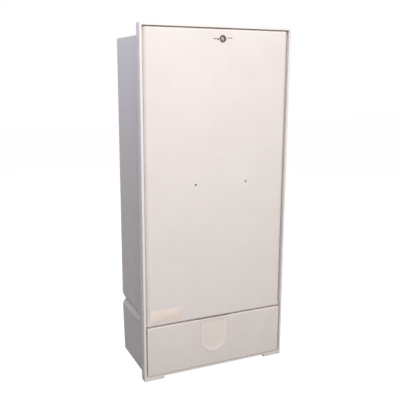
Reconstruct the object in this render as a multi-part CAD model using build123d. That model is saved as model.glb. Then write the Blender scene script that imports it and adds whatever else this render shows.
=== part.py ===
from build123d import *
import math
import os

# Roadside utility cabinet: a moulded rear tub, a projecting front frame on two feet,
# a tall door that tilts forward at its foot and locks at its head, a fixed lower panel
# with a cable passage, and the low voltage gear inside.
# Millimetres. X runs to the right, Y to the back, Z up. The origin is the middle of the
# footprint on the ground, and the door faces -Y.

# Overall size
TOTAL_WIDTH = 490.0
TOTAL_DEPTH = 266.0
TOTAL_HEIGHT = 1080.0

# Front frame
FRAME_DEPTH = 26.0
FRAME_WALL = 4.0
FRAME_EDGE_RADIUS = 3.0
FRAME_CORNER_RADIUS = 5.0
SIDE_LIP = 7.0
TOP_LIP = 10.5
BOTTOM_LIP = 4.0
LIP_DEPTH = 11.0
POCKET_CORNER_RADIUS = 1.5
WEB_THICKNESS = 4.0
FOOT_HEIGHT = 8.6
FOOT_LENGTH = 65.0
BOTTOM_RAIL_HEIGHT = 32.0
TRANSOM_RISE = 14.5
TRANSOM_DROP = 17.5
UPSTAND_INSET = 11.0
UPSTAND_THICKNESS = 3.0
UPSTAND_HEIGHT = 3.0
SHADOW_GROOVE_WIDTH = 4.0
SHADOW_GROOVE_DEPTH = 1.2

# Rear tub
TUB_INSET = 14.0
TUB_TOP_DROP = 32.0
TUB_WALL = 4.0
TUB_EDGE_RADIUS = 6.0
TUB_TOP_RADIUS = 5.0
FLANGE_WIDTH = 16.0
SKIRT_TAPER = 3.0
GROOVE_HEIGHT = 184.0
GROOVE_RISE = 19.0
GROOVE_DROP = 18.0
GROOVE_DEPTH = 8.0
GROOVE_SETBACK = 95.0
GROOVE_FADE = 26.0
BASE_FLANGE_WIDTH = 26.0
BASE_FLANGE_THICKNESS = 5.0
BASE_HOLE_RADIUS = 6.0
BASE_HOLE_EDGE = 13.0
BASE_HOLE_SPACING = 160.0
WALL_HOLE_RADIUS = 4.5
WALL_HOLE_EDGE = 26.0
WALL_HOLE_DROP = 68.0
WALL_HOLE_RISE = 97.0
SIDE_PLUG_DROP = 71.0
SIDE_PLUG_SETBACK = 55.0
SIDE_PLUG_HEAD_RADIUS = 6.0
SIDE_PLUG_HEAD = 1.6
SIDE_PLUG_RADIUS = 4.0
PLUG_CLEARANCE = 0.1

# Door
DOOR_GAP = 4.0
DOOR_LOW = 177.5
DOOR_DEPTH = 20.0
DOOR_WALL = 4.0
DOOR_SIDE_RADIUS = 13.0
DOOR_TOP_RADIUS = 5.0
DOOR_CORNER_RADIUS = 5.0
DOOR_FOOT_DEPTH = 16.0
HINGE_RADIUS = 6.0
RIB_THICKNESS = 3.0
RIB_DEPTH = 8.0
RIB_COUNT = 7
RIB_COLUMN_INSET = 74.0
PIN_RADIUS = 3.0
PIN_CLEARANCE = 0.05
PIN_LENGTH = 20.0
PIN_BORE_DEPTH = 5.0
PIN_END_GAP = 0.5
HINGE_BOSS_LENGTH = 12.0
HINGE_BOSS_HEIGHT = 14.0

# Lock in the head of the door
LOCK_OFFSET = 11.2
LOCK_DROP = 27.2
LOCK_FLANGE_RADIUS = 11.0
LOCK_FLANGE = 1.6
LOCK_BARREL_RADIUS = 9.0
LOCK_LENGTH = 13.0
LOCK_WELL_RADIUS = 8.0
LOCK_WELL_DEPTH = 4.0
LOCK_BOSS_RADIUS = 15.0
LOCK_BOSS = 3.0
LOCK_FIT = 0.1
LOCK_NUT_WIDTH = 24.0
LOCK_NUT = 3.5
CORE_RADIUS = 5.0
CORE_CLEARANCE = 0.05
CORE_TRIANGLE_RADIUS = 6.4
CORE_TRIANGLE_DEPTH = 3.5
CORE_SQUARE = 7.0
CAM_THICKNESS = 3.0
CAM_WIDTH = 14.0
CAM_GAP = 0.5
CAM_TIP_GAP = 1.0
CAM_SLOT_MARGIN = 3.0
CAM_NOTCH_GAP = 1.0
CAM_SCREW_WIDTH = 10.0
CAM_SCREW_HEAD = 3.0
CAM_SCREW_RADIUS = 2.5
CAM_SCREW_LENGTH = 9.0
KEEPER_LENGTH = 60.0
KEEPER_THICKNESS = 2.0
KEEPER_RIVET_SPACING = 48.0
KEEPER_RIVET_RADIUS = 1.6
KEEPER_RIVET_HEAD = 1.2
KEEPER_RIVET_BITE = 6.0

# Label plate and document pocket on the door
LABEL_WIDTH = 106.0
LABEL_HEIGHT = 42.0
LABEL_THICKNESS = 1.0
LABEL_LEFT = 11.0
LABEL_RISE = 10.5
LABEL_CORNER_RADIUS = 2.0
RIVET_SPACING = 170.3
RIVET_DROP = 454.7
RIVET_RADIUS = 2.0
RIVET_HEAD_RADIUS = 3.2
RIVET_HEAD = 1.0
RIVET_FIT = 0.1
POCKET_WIDTH = 216.0
POCKET_HEIGHT = 170.0
POCKET_DEPTH = 15.0
POCKET_WALL = 2.0
POCKET_TAB = 16.0
POCKET_LIP_HEIGHT = 110.0
POCKET_SCOOP_RADIUS = 36.0

# Lower panel and cable shutter
PANEL_FOOT_GAP = 1.4
PANEL_WALL = 4.0
PANEL_EDGE_RADIUS = 2.5
PANEL_CORNER_RADIUS = 4.0
PASSAGE_OFFSET = -8.0
PASSAGE_RADIUS = 49.0
PASSAGE_DEPTH = 114.5
SHUTTER_GAP = 0.6
SHUTTER_FLANGE = 9.0
SHUTTER_FLANGE_THICKNESS = 2.5
SHUTTER_DISH = 1.5
SHUTTER_RIM = 2.0
SHUTTER_SLOPE = 11.0
GUIDE_THICKNESS = 3.0
GUIDE_HOOK = 4.0
GUIDE_CLEARANCE = 0.5
LUG_INSET = 44.0
LUG_WIDTH = 22.0
LUG_HEIGHT = 20.0
LUG_SETBACK = 7.0
PANEL_SCREW_CLEARANCE = 1.3

# Screws: shank and head
SMALL_SCREW_RADIUS = 2.5
SMALL_SCREW_HEAD_RADIUS = 4.2
SMALL_SCREW_HEAD = 2.4
SMALL_SCREW_LENGTH = 14.0
SCREW_FIT = 0.2
FRAME_SCREW_ROWS = 5
FRAME_SCREW_MARGIN = 60.0
FRAME_SCREW_INSET = 4.4
BOLT_RADIUS = 3.0
BOLT_HEAD_WIDTH = 10.0
BOLT_HEAD = 4.0
BOLT_FIT = 0.3

# Mounting rails on the back of the tub
RAIL_INSET = 61.0
RAIL_HEAD_GAP = 48.0
RAIL_FOOT_GAP = 32.0
RAIL_WIDTH = 30.0
RAIL_DEPTH = 15.0
RAIL_WALL = 2.0
RAIL_SLOT = 16.0
RAIL_BOSS_RADIUS = 9.0
RAIL_BOSS_LENGTH = 8.0
RAIL_BOSS_MARGIN = 25.0

# Busbars and their insulators
BAR_WIDTH = 30.0
BAR_THICKNESS = 5.0
BAR_OVERHANG = 20.0
BAR_DROP = 80.0
BAR_PITCH = 100.0
PHASE_COUNT = 3
NEUTRAL_DROP = 215.0
BAR_HOLE_RADIUS = 3.5
INSULATOR_RADIUS = 14.0
INSULATOR_WAIST = 11.0
INSULATOR_LENGTH = 30.0
INSULATOR_GROOVE = 10.0

# Fuse strips in front of the busbars
STRIP_COUNT = 3
STRIP_WIDTH = 50.0
STRIP_PITCH = 60.0
STRIP_FIRST = -10.0
STRIP_DEPTH = 42.0
STRIP_WALL = 4.0
STRIP_HEAD = 48.0
STRIP_TAIL = 108.0
STRIP_TAIL_DEPTH = 26.0
WELL_HEIGHT = 88.0
WELL_DEPTH = 36.0
BLADE_WIDTH = 6.0
BLADE_HEIGHT = 14.0
BLADE_DEPTH = 14.0
FUSE_WIDTH = 26.0
FUSE_HEIGHT = 46.0
FUSE_DEPTH = 27.0
FUSE_SINK = 5.0
JAW_WALL = 2.0
JAW_HEIGHT = 11.0
JAW_LENGTH = 18.0
JAW_GAP = 0.3
LID_MARGIN = 2.0
LID_DEPTH = 12.0
LID_WALL = 2.0
LID_RADIUS = 4.0
LID_SEAT = 0.3
LID_PAD_WIDTH = 14.0
LID_PAD_HEIGHT = 24.0
GRIP_WIDTH = 18.0
GRIP_HEIGHT = 84.0
GRIP_REACH = 20.0
GRIP_THICKNESS = 7.0

# Clamps for conductors
CLAMP_WIDTH = 13.0
CLAMP_HEIGHT = 20.0
CLAMP_DEPTH = 18.0
CLAMP_WALL = 2.5
CLAMP_MOUTH_DEPTH = 9.0
CLAMP_MOUTH_HEIGHT = 15.0
CLAMP_STAGGER = 7.0
CLAMP_ROW_MARGIN = 30.0
CLAMP_SCREW_WIDTH = 8.0
CLAMP_SCREW = 5.0
INCOMING_OFFSET = -105.0
INCOMING_WIDTH = 26.0
NEUTRAL_CLAMPS = 6
EARTH_CLAMPS = 6

# Earth bar and cable rail
EARTH_DROP = 105.0
EARTH_WIDTH = 24.0
EARTH_THICKNESS = 4.0
EARTH_SPACER_RADIUS = 8.0
EARTH_SPACER_LENGTH = 12.0
CABLE_RAIL_RISE = 27.0
CABLE_RAIL_REACH = 45.0
CABLE_RAIL_OVERHANG = 30.0
ARM_THICKNESS = 3.0
ARM_WIDTH = 24.0
SADDLE_COUNT = 4
SADDLE_PITCH = 84.0
SADDLE_WIDTH = 44.0
SADDLE_DEPTH = 30.0
SADDLE_HEIGHT = 18.0
SADDLE_WALL = 6.0

# Margin by which a cutting solid passes the faces that it cuts
CUT = 2.0

# Places that follow from the sizes above
HALF_WIDTH = TOTAL_WIDTH / 2
Y_FRONT = -TOTAL_DEPTH / 2
Y_BACK = TOTAL_DEPTH / 2
FRAME_BACK = Y_FRONT + FRAME_DEPTH
WEB_FRONT = FRAME_BACK - WEB_THICKNESS
LIP_BACK = Y_FRONT + LIP_DEPTH
POCKET_HALF = HALF_WIDTH - SIDE_LIP
POCKET_TOP = TOTAL_HEIGHT - TOP_LIP
POCKET_BOTTOM = FOOT_HEIGHT + BOTTOM_LIP
DOOR_HALF = POCKET_HALF - DOOR_GAP
DOOR_TOP = POCKET_TOP - DOOR_GAP
DOOR_BACK = Y_FRONT + DOOR_DEPTH
DOOR_SKIN = Y_FRONT + DOOR_WALL
HINGE_Y = Y_FRONT + HINGE_RADIUS
HINGE_Z = DOOR_LOW + HINGE_RADIUS
PANEL_TOP = DOOR_LOW - DOOR_GAP
PANEL_LOW = POCKET_BOTTOM + PANEL_FOOT_GAP
PANEL_SKIN = Y_FRONT + PANEL_WALL
TUB_HALF = HALF_WIDTH - TUB_INSET
TUB_TOP = TOTAL_HEIGHT - TUB_TOP_DROP
TUB_REAR = Y_BACK - TUB_WALL
FLANGE_BACK = FRAME_BACK + TUB_WALL
OPENING_HALF = TUB_HALF - FLANGE_WIDTH
OPENING_TOP = TUB_TOP - FLANGE_WIDTH
OPENING_LOW = DOOR_LOW + TRANSOM_RISE
GROOVE_TOP = GROOVE_HEIGHT + GROOVE_RISE
GROOVE_BOTTOM = GROOVE_HEIGHT - GROOVE_DROP
GROOVE_START = Y_FRONT + GROOVE_SETBACK
SIDE_PLUG_Z = TUB_TOP - SIDE_PLUG_DROP
LOCK_Z = DOOR_TOP - LOCK_DROP
KEEPER_BACK = LIP_BACK + KEEPER_THICKNESS
CAM_FRONT = KEEPER_BACK + CAM_GAP
CAM_BACK = CAM_FRONT + CAM_THICKNESS
CAM_REACH = TOTAL_HEIGHT - FRAME_WALL - CAM_TIP_GAP - LOCK_Z
RIB_COLUMN = DOOR_HALF - RIB_COLUMN_INSET
RIVET_Z = DOOR_TOP - RIVET_DROP
LUG_X = DOOR_HALF - LUG_INSET
RAIL_X = TUB_HALF - RAIL_INSET
RAIL_LOW = GROOVE_TOP + RAIL_FOOT_GAP
RAIL_HIGH = TUB_TOP - RAIL_HEAD_GAP
RAIL_BACK = TUB_REAR - RAIL_BOSS_LENGTH
RAIL_FRONT = RAIL_BACK - RAIL_DEPTH
BAR_BACK = RAIL_FRONT - INSULATOR_LENGTH
BAR_FRONT = BAR_BACK - BAR_THICKNESS
BAR_HALF_LENGTH = RAIL_X + BAR_OVERHANG
BAR_TOP = RAIL_HIGH - BAR_DROP
BAR_HEIGHTS = [BAR_TOP - row * BAR_PITCH for row in range(PHASE_COUNT)]
NEUTRAL_Z = BAR_HEIGHTS[-1] - NEUTRAL_DROP
EARTH_Z = NEUTRAL_Z - EARTH_DROP
STRIP_FRONT = BAR_FRONT - STRIP_DEPTH
STRIP_TOP = BAR_HEIGHTS[0] + STRIP_HEAD
STRIP_LOW = BAR_HEIGHTS[-1] - STRIP_TAIL
STRIP_XS = [STRIP_FIRST + strip * STRIP_PITCH for strip in range(STRIP_COUNT)]
FUSE_FRONT = STRIP_FRONT + FUSE_SINK
EARTH_BACK = RAIL_FRONT - EARTH_SPACER_LENGTH
CABLE_RAIL_Z = RAIL_LOW + CABLE_RAIL_RISE
CABLE_RAIL_HALF = RAIL_X + CABLE_RAIL_OVERHANG
CABLE_RAIL_BACK = RAIL_FRONT - CABLE_RAIL_REACH
CABLE_RAIL_FRONT = CABLE_RAIL_BACK - RAIL_DEPTH
SIDES = (-1, 1)


# Small drawing helpers

def rect(left, right, low, high):
    """Rectangle between two columns and two rows of a view."""
    return Pos((left + right) / 2, (low + high) / 2) * Rectangle(right - left, high - low)


def soft_rect(left, right, low, high, radius):
    """The same rectangle with its four corners rounded."""
    return fillet(rect(left, right, low, high).vertices(), radius)


def front_view(sketch, y_from, y_to):
    """Solid drawn in X and Z and carried between two depths."""
    plane = Plane(origin=(0, y_to, 0), x_dir=(1, 0, 0), z_dir=(0, -1, 0))
    return extrude(plane * sketch, amount=y_to - y_from)


def side_view(sketch, x_from, x_to):
    """Solid drawn in Y and Z and carried between two widths."""
    plane = Plane(origin=(x_from, 0, 0), x_dir=(0, 1, 0), z_dir=(1, 0, 0))
    return extrude(plane * sketch, amount=x_to - x_from)


def top_view(sketch, z_from, z_to):
    """Solid drawn in X and Y and carried between two heights."""
    return extrude(Pos(0, 0, z_from) * sketch, amount=z_to - z_from)


def bar(sketch, start, end):
    """Sketch carried straight from one point to another."""
    run = Vector(*end) - Vector(*start)
    return extrude(Plane(origin=start, z_dir=run) * sketch, amount=run.length)


def across(x, z, y_from, y_to, sketch):
    """Round or hexagonal bar that runs from front to back."""
    return bar(sketch, (x, y_from, z), (x, y_to, z))


def hexagon(width):
    """Hexagon by its width across the flats."""
    return RegularPolygon(radius=width / 2, side_count=6, major_radius=False)


def tray(half, low, high, front, back, radii, corner):
    """Block whose front edges are rounded, as its three views meet."""
    side_radius, top_radius, low_radius = radii
    plan = rect(-half, half, front, back + CUT)
    plan = fillet(plan.vertices().group_by(Axis.Y)[0], side_radius)
    side = rect(front, back, low, high)
    side = fillet(side.vertices().group_by(Axis.X)[0].sort_by(Axis.Y)[0], low_radius)
    side = fillet(side.vertices().group_by(Axis.X)[0].sort_by(Axis.Y)[-1], top_radius)
    face = soft_rect(-half, half, low, high, corner)
    block = front_view(face, front - CUT, back + CUT) & top_view(plan, low - CUT, high + CUT)
    return block & side_view(side, -half - CUT, half + CUT)


# Rear tub

def tub_plan(inset, radius):
    """Plan of the tub's skin, drawn inset from the outer one, with its rear corners rounded."""
    half = TUB_HALF - inset
    plan = rect(-half, half, FRAME_BACK, Y_BACK - inset)
    return fillet(plan.vertices().group_by(Axis.Y)[-1], radius)


def groove(inset, radius):
    """What the V groove takes from a skin of the tub, fading out towards the front."""
    reach = rect(-HALF_WIDTH, HALF_WIDTH, GROOVE_START, Y_BACK + CUT)
    band = top_view(reach, GROOVE_BOTTOM, GROOVE_TOP)
    wide = tub_plan(inset, radius)
    narrow = tub_plan(inset + GROOVE_DEPTH, radius)
    low = loft([Pos(0, 0, GROOVE_BOTTOM) * wide, Pos(0, 0, GROOVE_HEIGHT) * narrow], ruled=True)
    high = loft([Pos(0, 0, GROOVE_HEIGHT) * narrow, Pos(0, 0, GROOVE_TOP) * wide], ruled=True)
    cut = band - low - high
    for side in SIDES:
        skin = side * (TUB_HALF - inset)
        deep = side * (TUB_HALF - inset - GROOVE_DEPTH)
        corners = [(skin, GROOVE_BOTTOM), (skin, GROOVE_TOP), (deep, GROOVE_HEIGHT)]
        plane = Plane(origin=(0, GROOVE_START, 0), x_dir=(1, 0, 0), z_dir=(0, -1, 0))
        mouth = plane * make_face(Polyline(*corners, close=True))
        tip = Vertex(skin, GROOVE_START - GROOVE_FADE, GROOVE_HEIGHT)
        cut += loft([mouth, tip])
    return cut


def tub_form(inset, radius):
    """Solid inside one skin of the tub: upper box, V groove and tapered skirt."""
    upper = top_view(tub_plan(inset, radius), GROOVE_BOTTOM, TUB_TOP - inset)
    foot = tub_plan(inset + SKIRT_TAPER, radius)
    skirt = loft([foot, Pos(0, 0, GROOVE_BOTTOM) * tub_plan(inset, radius)], ruled=True)
    return upper + skirt - groove(inset, radius)


def base_holes():
    """Places of the bolts that hold the tub down on its plinth."""
    x = TUB_HALF - BASE_HOLE_EDGE
    return [(side * x, end * BASE_HOLE_SPACING / 2) for side in SIDES for end in SIDES]


def wall_holes():
    """Places of the bolts that hold the tub's back to a wall."""
    x = TUB_HALF - WALL_HOLE_EDGE
    heights = (GROOVE_TOP + WALL_HOLE_RISE, TUB_TOP - WALL_HOLE_DROP)
    return [(side * x, z) for side in SIDES for z in heights]


def rail_bolt_places():
    """Where the mounting rails are bolted to the bosses of the tub."""
    heights = (RAIL_LOW + RAIL_BOSS_MARGIN, RAIL_HIGH - RAIL_BOSS_MARGIN)
    return [(side * RAIL_X, z) for side in SIDES for z in heights]


def frame_screw_places():
    """Where the front frame is screwed to the tub's flange."""
    x = OPENING_HALF + FRAME_SCREW_INSET
    low = OPENING_LOW + FRAME_SCREW_MARGIN
    high = OPENING_TOP - FRAME_SCREW_MARGIN
    step = (high - low) / (FRAME_SCREW_ROWS - 1)
    return [(side * x, low + row * step) for side in SIDES for row in range(FRAME_SCREW_ROWS)]


def rear_tub():
    """Moulded tub, open at the front and at the foot."""
    outer = tub_form(0, TUB_EDGE_RADIUS)
    rim = outer.edges().group_by(Axis.Z)[-1].filter_by(lambda edge: edge.center().Y > FRAME_BACK + CUT)
    outer = fillet(rim, TUB_TOP_RADIUS)
    inner = tub_form(TUB_WALL, max(TUB_EDGE_RADIUS - TUB_WALL, POCKET_CORNER_RADIUS))
    behind = rect(-HALF_WIDTH, HALF_WIDTH, FLANGE_BACK, Y_BACK)
    inner = inner & top_view(behind, -CUT, TUB_TOP)
    for side in SIDES:
        edge = side * (TUB_HALF - BASE_FLANGE_WIDTH)
        wall = side * HALF_WIDTH
        flange = rect(min(edge, wall), max(edge, wall), FRAME_BACK, Y_BACK)
        inner -= top_view(flange, -CUT, BASE_FLANGE_THICKNESS)
    mouth = rect(-OPENING_HALF, OPENING_HALF, -CUT, OPENING_TOP)
    tub = outer - inner - front_view(mouth, FRAME_BACK - CUT, FLANGE_BACK + CUT)
    for side in SIDES:
        plug = (side * TUB_HALF, Y_FRONT + SIDE_PLUG_SETBACK, SIDE_PLUG_Z)
        inner_end = (side * (TUB_HALF - TUB_WALL - CUT), plug[1], plug[2])
        tub -= bar(Circle(SIDE_PLUG_RADIUS + PLUG_CLEARANCE), plug, inner_end)
    for x, y in base_holes():
        tub -= Pos(x, y) * Cylinder(BASE_HOLE_RADIUS, 2 * BASE_FLANGE_THICKNESS + CUT)
    for x, z in wall_holes():
        tub -= across(x, z, TUB_REAR - CUT, Y_BACK + CUT, Circle(WALL_HOLE_RADIUS))
    for x, z in rail_bolt_places():
        tub += across(x, z, RAIL_BACK, TUB_REAR + TUB_WALL / 2, Circle(RAIL_BOSS_RADIUS))
        tub -= across(x, z, RAIL_BACK - CUT, TUB_REAR + TUB_WALL / 2, Circle(BOLT_RADIUS + BOLT_FIT))
    for x, z in frame_screw_places():
        hole = Circle(SMALL_SCREW_RADIUS + SCREW_FIT)
        tub -= across(x, z, FRAME_BACK - CUT, FLANGE_BACK + CUT, hole)
    return tub


def side_plug(side):
    """Round plug that closes the hole in one side of the tub."""
    y = Y_FRONT + SIDE_PLUG_SETBACK
    skin = (side * TUB_HALF, y, SIDE_PLUG_Z)
    face = (side * (TUB_HALF + SIDE_PLUG_HEAD), y, SIDE_PLUG_Z)
    end = (side * (TUB_HALF - TUB_WALL), y, SIDE_PLUG_Z)
    head = bar(Circle(SIDE_PLUG_HEAD_RADIUS), skin, face)
    head = chamfer(head.edges().sort_by(Axis.X)[-1 if side > 0 else 0], SIDE_PLUG_HEAD / 2)
    return head + bar(Circle(SIDE_PLUG_RADIUS), skin, end)


def side_plugs():
    """The same plug in both sides."""
    return Compound([side_plug(side) for side in SIDES])


# Front frame

def frame_outline():
    """Front view of the frame with its two feet."""
    foot = HALF_WIDTH - FOOT_LENGTH
    corners = [
        (-HALF_WIDTH, 0), (-foot, 0), (-foot, FOOT_HEIGHT), (foot, FOOT_HEIGHT),
        (foot, 0), (HALF_WIDTH, 0), (HALF_WIDTH, TOTAL_HEIGHT), (-HALF_WIDTH, TOTAL_HEIGHT),
    ]
    face = make_face(Polyline(*corners, close=True))
    return fillet(face.vertices().group_by(Axis.Y)[-1], FRAME_CORNER_RADIUS)


def lug_box():
    """Size of the lugs that the lower panel is screwed down on."""
    return PANEL_TOP - PANEL_WALL - LUG_HEIGHT, PANEL_TOP - PANEL_WALL


def front_frame():
    """Moulded outer frame: lip, hollow behind it, shadow groove, feet and hinge bores."""
    plan = rect(-HALF_WIDTH, HALF_WIDTH, Y_FRONT, WEB_FRONT)
    plan = fillet(plan.vertices().group_by(Axis.Y)[0], FRAME_EDGE_RADIUS)
    side = rect(Y_FRONT, WEB_FRONT, 0, TOTAL_HEIGHT)
    side = fillet(side.vertices().group_by(Axis.X)[0].sort_by(Axis.Y)[-1], FRAME_EDGE_RADIUS)
    frame = front_view(frame_outline(), Y_FRONT, WEB_FRONT)
    frame = frame & top_view(plan, 0, TOTAL_HEIGHT) & side_view(side, -HALF_WIDTH, HALF_WIDTH)
    pocket = soft_rect(-POCKET_HALF, POCKET_HALF, POCKET_BOTTOM, POCKET_TOP, POCKET_CORNER_RADIUS)
    frame -= front_view(pocket, Y_FRONT - CUT, LIP_BACK)
    hollow_half = HALF_WIDTH - FRAME_WALL
    hollow = rect(-hollow_half, hollow_half, POCKET_BOTTOM, TOTAL_HEIGHT - FRAME_WALL)
    frame -= front_view(hollow, LIP_BACK, WEB_FRONT + CUT)
    outside = rect(-HALF_WIDTH - CUT, HALF_WIDTH + CUT, -CUT, TOTAL_HEIGHT + CUT)
    deep = SHADOW_GROOVE_DEPTH
    core = rect(-HALF_WIDTH + deep, HALF_WIDTH - deep, -CUT, TOTAL_HEIGHT - deep)
    frame -= front_view(outside - core, LIP_BACK, LIP_BACK + SHADOW_GROOVE_WIDTH)
    for side in SIDES:
        jaw = (side * (POCKET_HALF - CUT), HINGE_Y, HINGE_Z)
        end = (side * (POCKET_HALF + PIN_BORE_DEPTH), HINGE_Y, HINGE_Z)
        frame -= bar(Circle(PIN_RADIUS + PIN_CLEARANCE), jaw, end)
    bite = LIP_BACK - KEEPER_RIVET_BITE
    for x in keeper_rivet_xs():
        frame -= across(x, keeper_rivet_z(), bite, LIP_BACK, Circle(KEEPER_RIVET_RADIUS))
    return frame


def frame_web():
    """Back of the frame: flat web with a doorway and a cable way, its rim and its lugs."""
    web = front_view(frame_outline(), WEB_FRONT, FRAME_BACK)
    doorway = rect(-OPENING_HALF, OPENING_HALF, OPENING_LOW, OPENING_TOP)
    cable_low = FOOT_HEIGHT + BOTTOM_RAIL_HEIGHT
    cable_way = rect(-OPENING_HALF, OPENING_HALF, cable_low, DOOR_LOW - TRANSOM_DROP)
    web -= front_view(doorway + cable_way, WEB_FRONT - CUT, FRAME_BACK + CUT)
    rim_half = POCKET_HALF - UPSTAND_INSET
    rim_low = DOOR_LOW + UPSTAND_INSET / 2
    rim_high = POCKET_TOP - UPSTAND_INSET - UPSTAND_THICKNESS
    rim = rect(-rim_half, rim_half, rim_low, rim_high)
    wall = UPSTAND_THICKNESS
    rim -= rect(-rim_half + wall, rim_half - wall, rim_low + wall, rim_high - wall)
    web += front_view(rim, WEB_FRONT - UPSTAND_HEIGHT, WEB_FRONT)
    lug_low, lug_high = lug_box()
    bore = Circle(SMALL_SCREW_RADIUS + SCREW_FIT)
    for side in SIDES:
        left = side * LUG_X - LUG_WIDTH / 2
        lug = rect(left, left + LUG_WIDTH, PANEL_SKIN + LUG_SETBACK, FRAME_BACK)
        web += top_view(lug, lug_low, lug_high)
        middle = (side * LUG_X, panel_screw_y())
        web -= bar(bore, (*middle, lug_high), (*middle, lug_low))
    for x, z in frame_screw_places():
        web -= across(x, z, WEB_FRONT - CUT, FRAME_BACK + CUT, bore)
    return web


def small_screw(sketch_at):
    """Pan head screw: its head on the near side of a face and its shank through it."""
    head = extrude(sketch_at * Circle(SMALL_SCREW_HEAD_RADIUS), amount=SMALL_SCREW_HEAD)
    shank = extrude(sketch_at * Circle(SMALL_SCREW_RADIUS), amount=-SMALL_SCREW_LENGTH)
    return head + shank


def frame_screws():
    """Screws that join the frame's web to the tub's flange."""
    screws = []
    for x, z in frame_screw_places():
        plane = Plane(origin=(x, WEB_FRONT, z), z_dir=(0, -1, 0))
        screws.append(small_screw(plane))
    return Compound(screws)


# Lock keeper on the frame

def keeper_rivet_xs():
    """Rivets at the two ends of the keeper."""
    return [LOCK_OFFSET + side * KEEPER_RIVET_SPACING / 2 for side in SIDES]


def keeper_rivet_z():
    """Height of the keeper's rivets, in the middle of the lip."""
    return (POCKET_TOP + TOTAL_HEIGHT - FRAME_WALL) / 2


def lock_keeper():
    """Steel wear plate behind the lip, that the cam turns up behind."""
    left = LOCK_OFFSET - KEEPER_LENGTH / 2
    plate = rect(left, left + KEEPER_LENGTH, POCKET_TOP, TOTAL_HEIGHT - FRAME_WALL)
    keeper = front_view(plate, LIP_BACK, KEEPER_BACK)
    for x in keeper_rivet_xs():
        keeper -= across(x, keeper_rivet_z(), LIP_BACK - CUT, KEEPER_BACK + CUT, Circle(KEEPER_RIVET_RADIUS))
    return keeper


def keeper_rivets():
    """Two rivets that hold the keeper."""
    rivets = []
    for x in keeper_rivet_xs():
        bite = LIP_BACK - KEEPER_RIVET_BITE
        shank = across(x, keeper_rivet_z(), bite, KEEPER_BACK, Circle(KEEPER_RIVET_RADIUS))
        head = across(x, keeper_rivet_z(), KEEPER_BACK, KEEPER_BACK + KEEPER_RIVET_HEAD,
                      Circle(2 * KEEPER_RIVET_RADIUS))
        rivets.append(shank + head)
    return Compound(rivets)


# Lower panel, its screws and the cable shutter

def passage(grow, lift):
    """U outline of the cable passage, grown all round and carried past the panel's top."""
    radius = PASSAGE_RADIUS + grow
    bend = PANEL_TOP - PASSAGE_DEPTH + PASSAGE_RADIUS
    left = PASSAGE_OFFSET - radius
    straight = rect(left, left + 2 * radius, bend, PANEL_TOP + lift)
    return straight + Pos(PASSAGE_OFFSET, bend) * Circle(radius)


def panel_screw_y():
    """Depth of the screws in the top edge of the lower panel."""
    return WEB_FRONT - SMALL_SCREW_HEAD_RADIUS - PANEL_SCREW_CLEARANCE


def lower_panel():
    """Fixed lower panel, a tray with returned edges, a U passage and shutter guides."""
    radii = (PANEL_EDGE_RADIUS, PANEL_EDGE_RADIUS, PANEL_EDGE_RADIUS)
    panel = tray(DOOR_HALF, PANEL_LOW, PANEL_TOP, Y_FRONT, WEB_FRONT, radii, PANEL_CORNER_RADIUS)
    hollow_half = DOOR_HALF - PANEL_WALL
    hollow = rect(-hollow_half, hollow_half, PANEL_LOW + PANEL_WALL, PANEL_TOP - PANEL_WALL)
    panel -= front_view(hollow, PANEL_SKIN, WEB_FRONT + CUT)
    reach = SHUTTER_FLANGE + GUIDE_CLEARANCE
    guide_back = PANEL_SKIN + SHUTTER_FLANGE_THICKNESS + GUIDE_CLEARANCE
    guide = passage(reach + GUIDE_THICKNESS, -PANEL_WALL) - passage(reach, CUT)
    panel += front_view(guide, PANEL_SKIN, guide_back)
    hook = passage(reach + GUIDE_THICKNESS, -PANEL_WALL) - passage(reach - GUIDE_HOOK, CUT)
    panel += front_view(hook, guide_back, guide_back + GUIDE_THICKNESS)
    panel -= front_view(passage(0, CUT), Y_FRONT - CUT, PANEL_SKIN)
    gate = passage(reach, CUT) & rect(-DOOR_HALF, DOOR_HALF, PANEL_TOP - 2 * PANEL_WALL, PANEL_TOP + CUT)
    panel -= front_view(gate, PANEL_SKIN, WEB_FRONT + CUT)
    for side in SIDES:
        top = (side * LUG_X, panel_screw_y(), PANEL_TOP + CUT)
        low = (side * LUG_X, panel_screw_y(), PANEL_TOP - PANEL_WALL - CUT)
        panel -= bar(Circle(SMALL_SCREW_RADIUS + SCREW_FIT), top, low)
    return panel


def panel_screws():
    """Screws that hold the lower panel down, hidden under the foot of the door."""
    screws = []
    for side in SIDES:
        plane = Plane(origin=(side * LUG_X, panel_screw_y(), PANEL_TOP), z_dir=(0, 0, 1))
        screws.append(small_screw(plane))
    return Compound(screws)


def cable_shutter():
    """U shaped shutter with a dished face and a wider flange behind the panel."""
    face = passage(-SHUTTER_GAP, 0)
    shutter = front_view(face, Y_FRONT, PANEL_SKIN)
    flange_back = PANEL_SKIN + SHUTTER_FLANGE_THICKNESS
    shutter += front_view(passage(SHUTTER_FLANGE, 0), PANEL_SKIN, flange_back)
    rim = SHUTTER_GAP + SHUTTER_RIM
    plane = Plane(origin=(0, Y_FRONT, 0), x_dir=(1, 0, 0), z_dir=(0, -1, 0))
    floor = Plane(origin=(0, Y_FRONT + SHUTTER_DISH, 0), x_dir=(1, 0, 0), z_dir=(0, -1, 0))
    mouth = plane * passage(-rim, -rim)
    bed = floor * passage(-rim - SHUTTER_SLOPE, -rim - SHUTTER_SLOPE)
    shutter -= loft([mouth.face(), bed.face()], ruled=True)
    return shutter


# Door and what it carries

def rib_heights():
    """Cross ribs evenly spaced up the back of the door."""
    step = (LOCK_Z - LOCK_BOSS_RADIUS - DOOR_LOW) / RIB_COUNT
    return [DOOR_LOW + step * (rib + 1 / 2) for rib in range(RIB_COUNT)]


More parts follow.
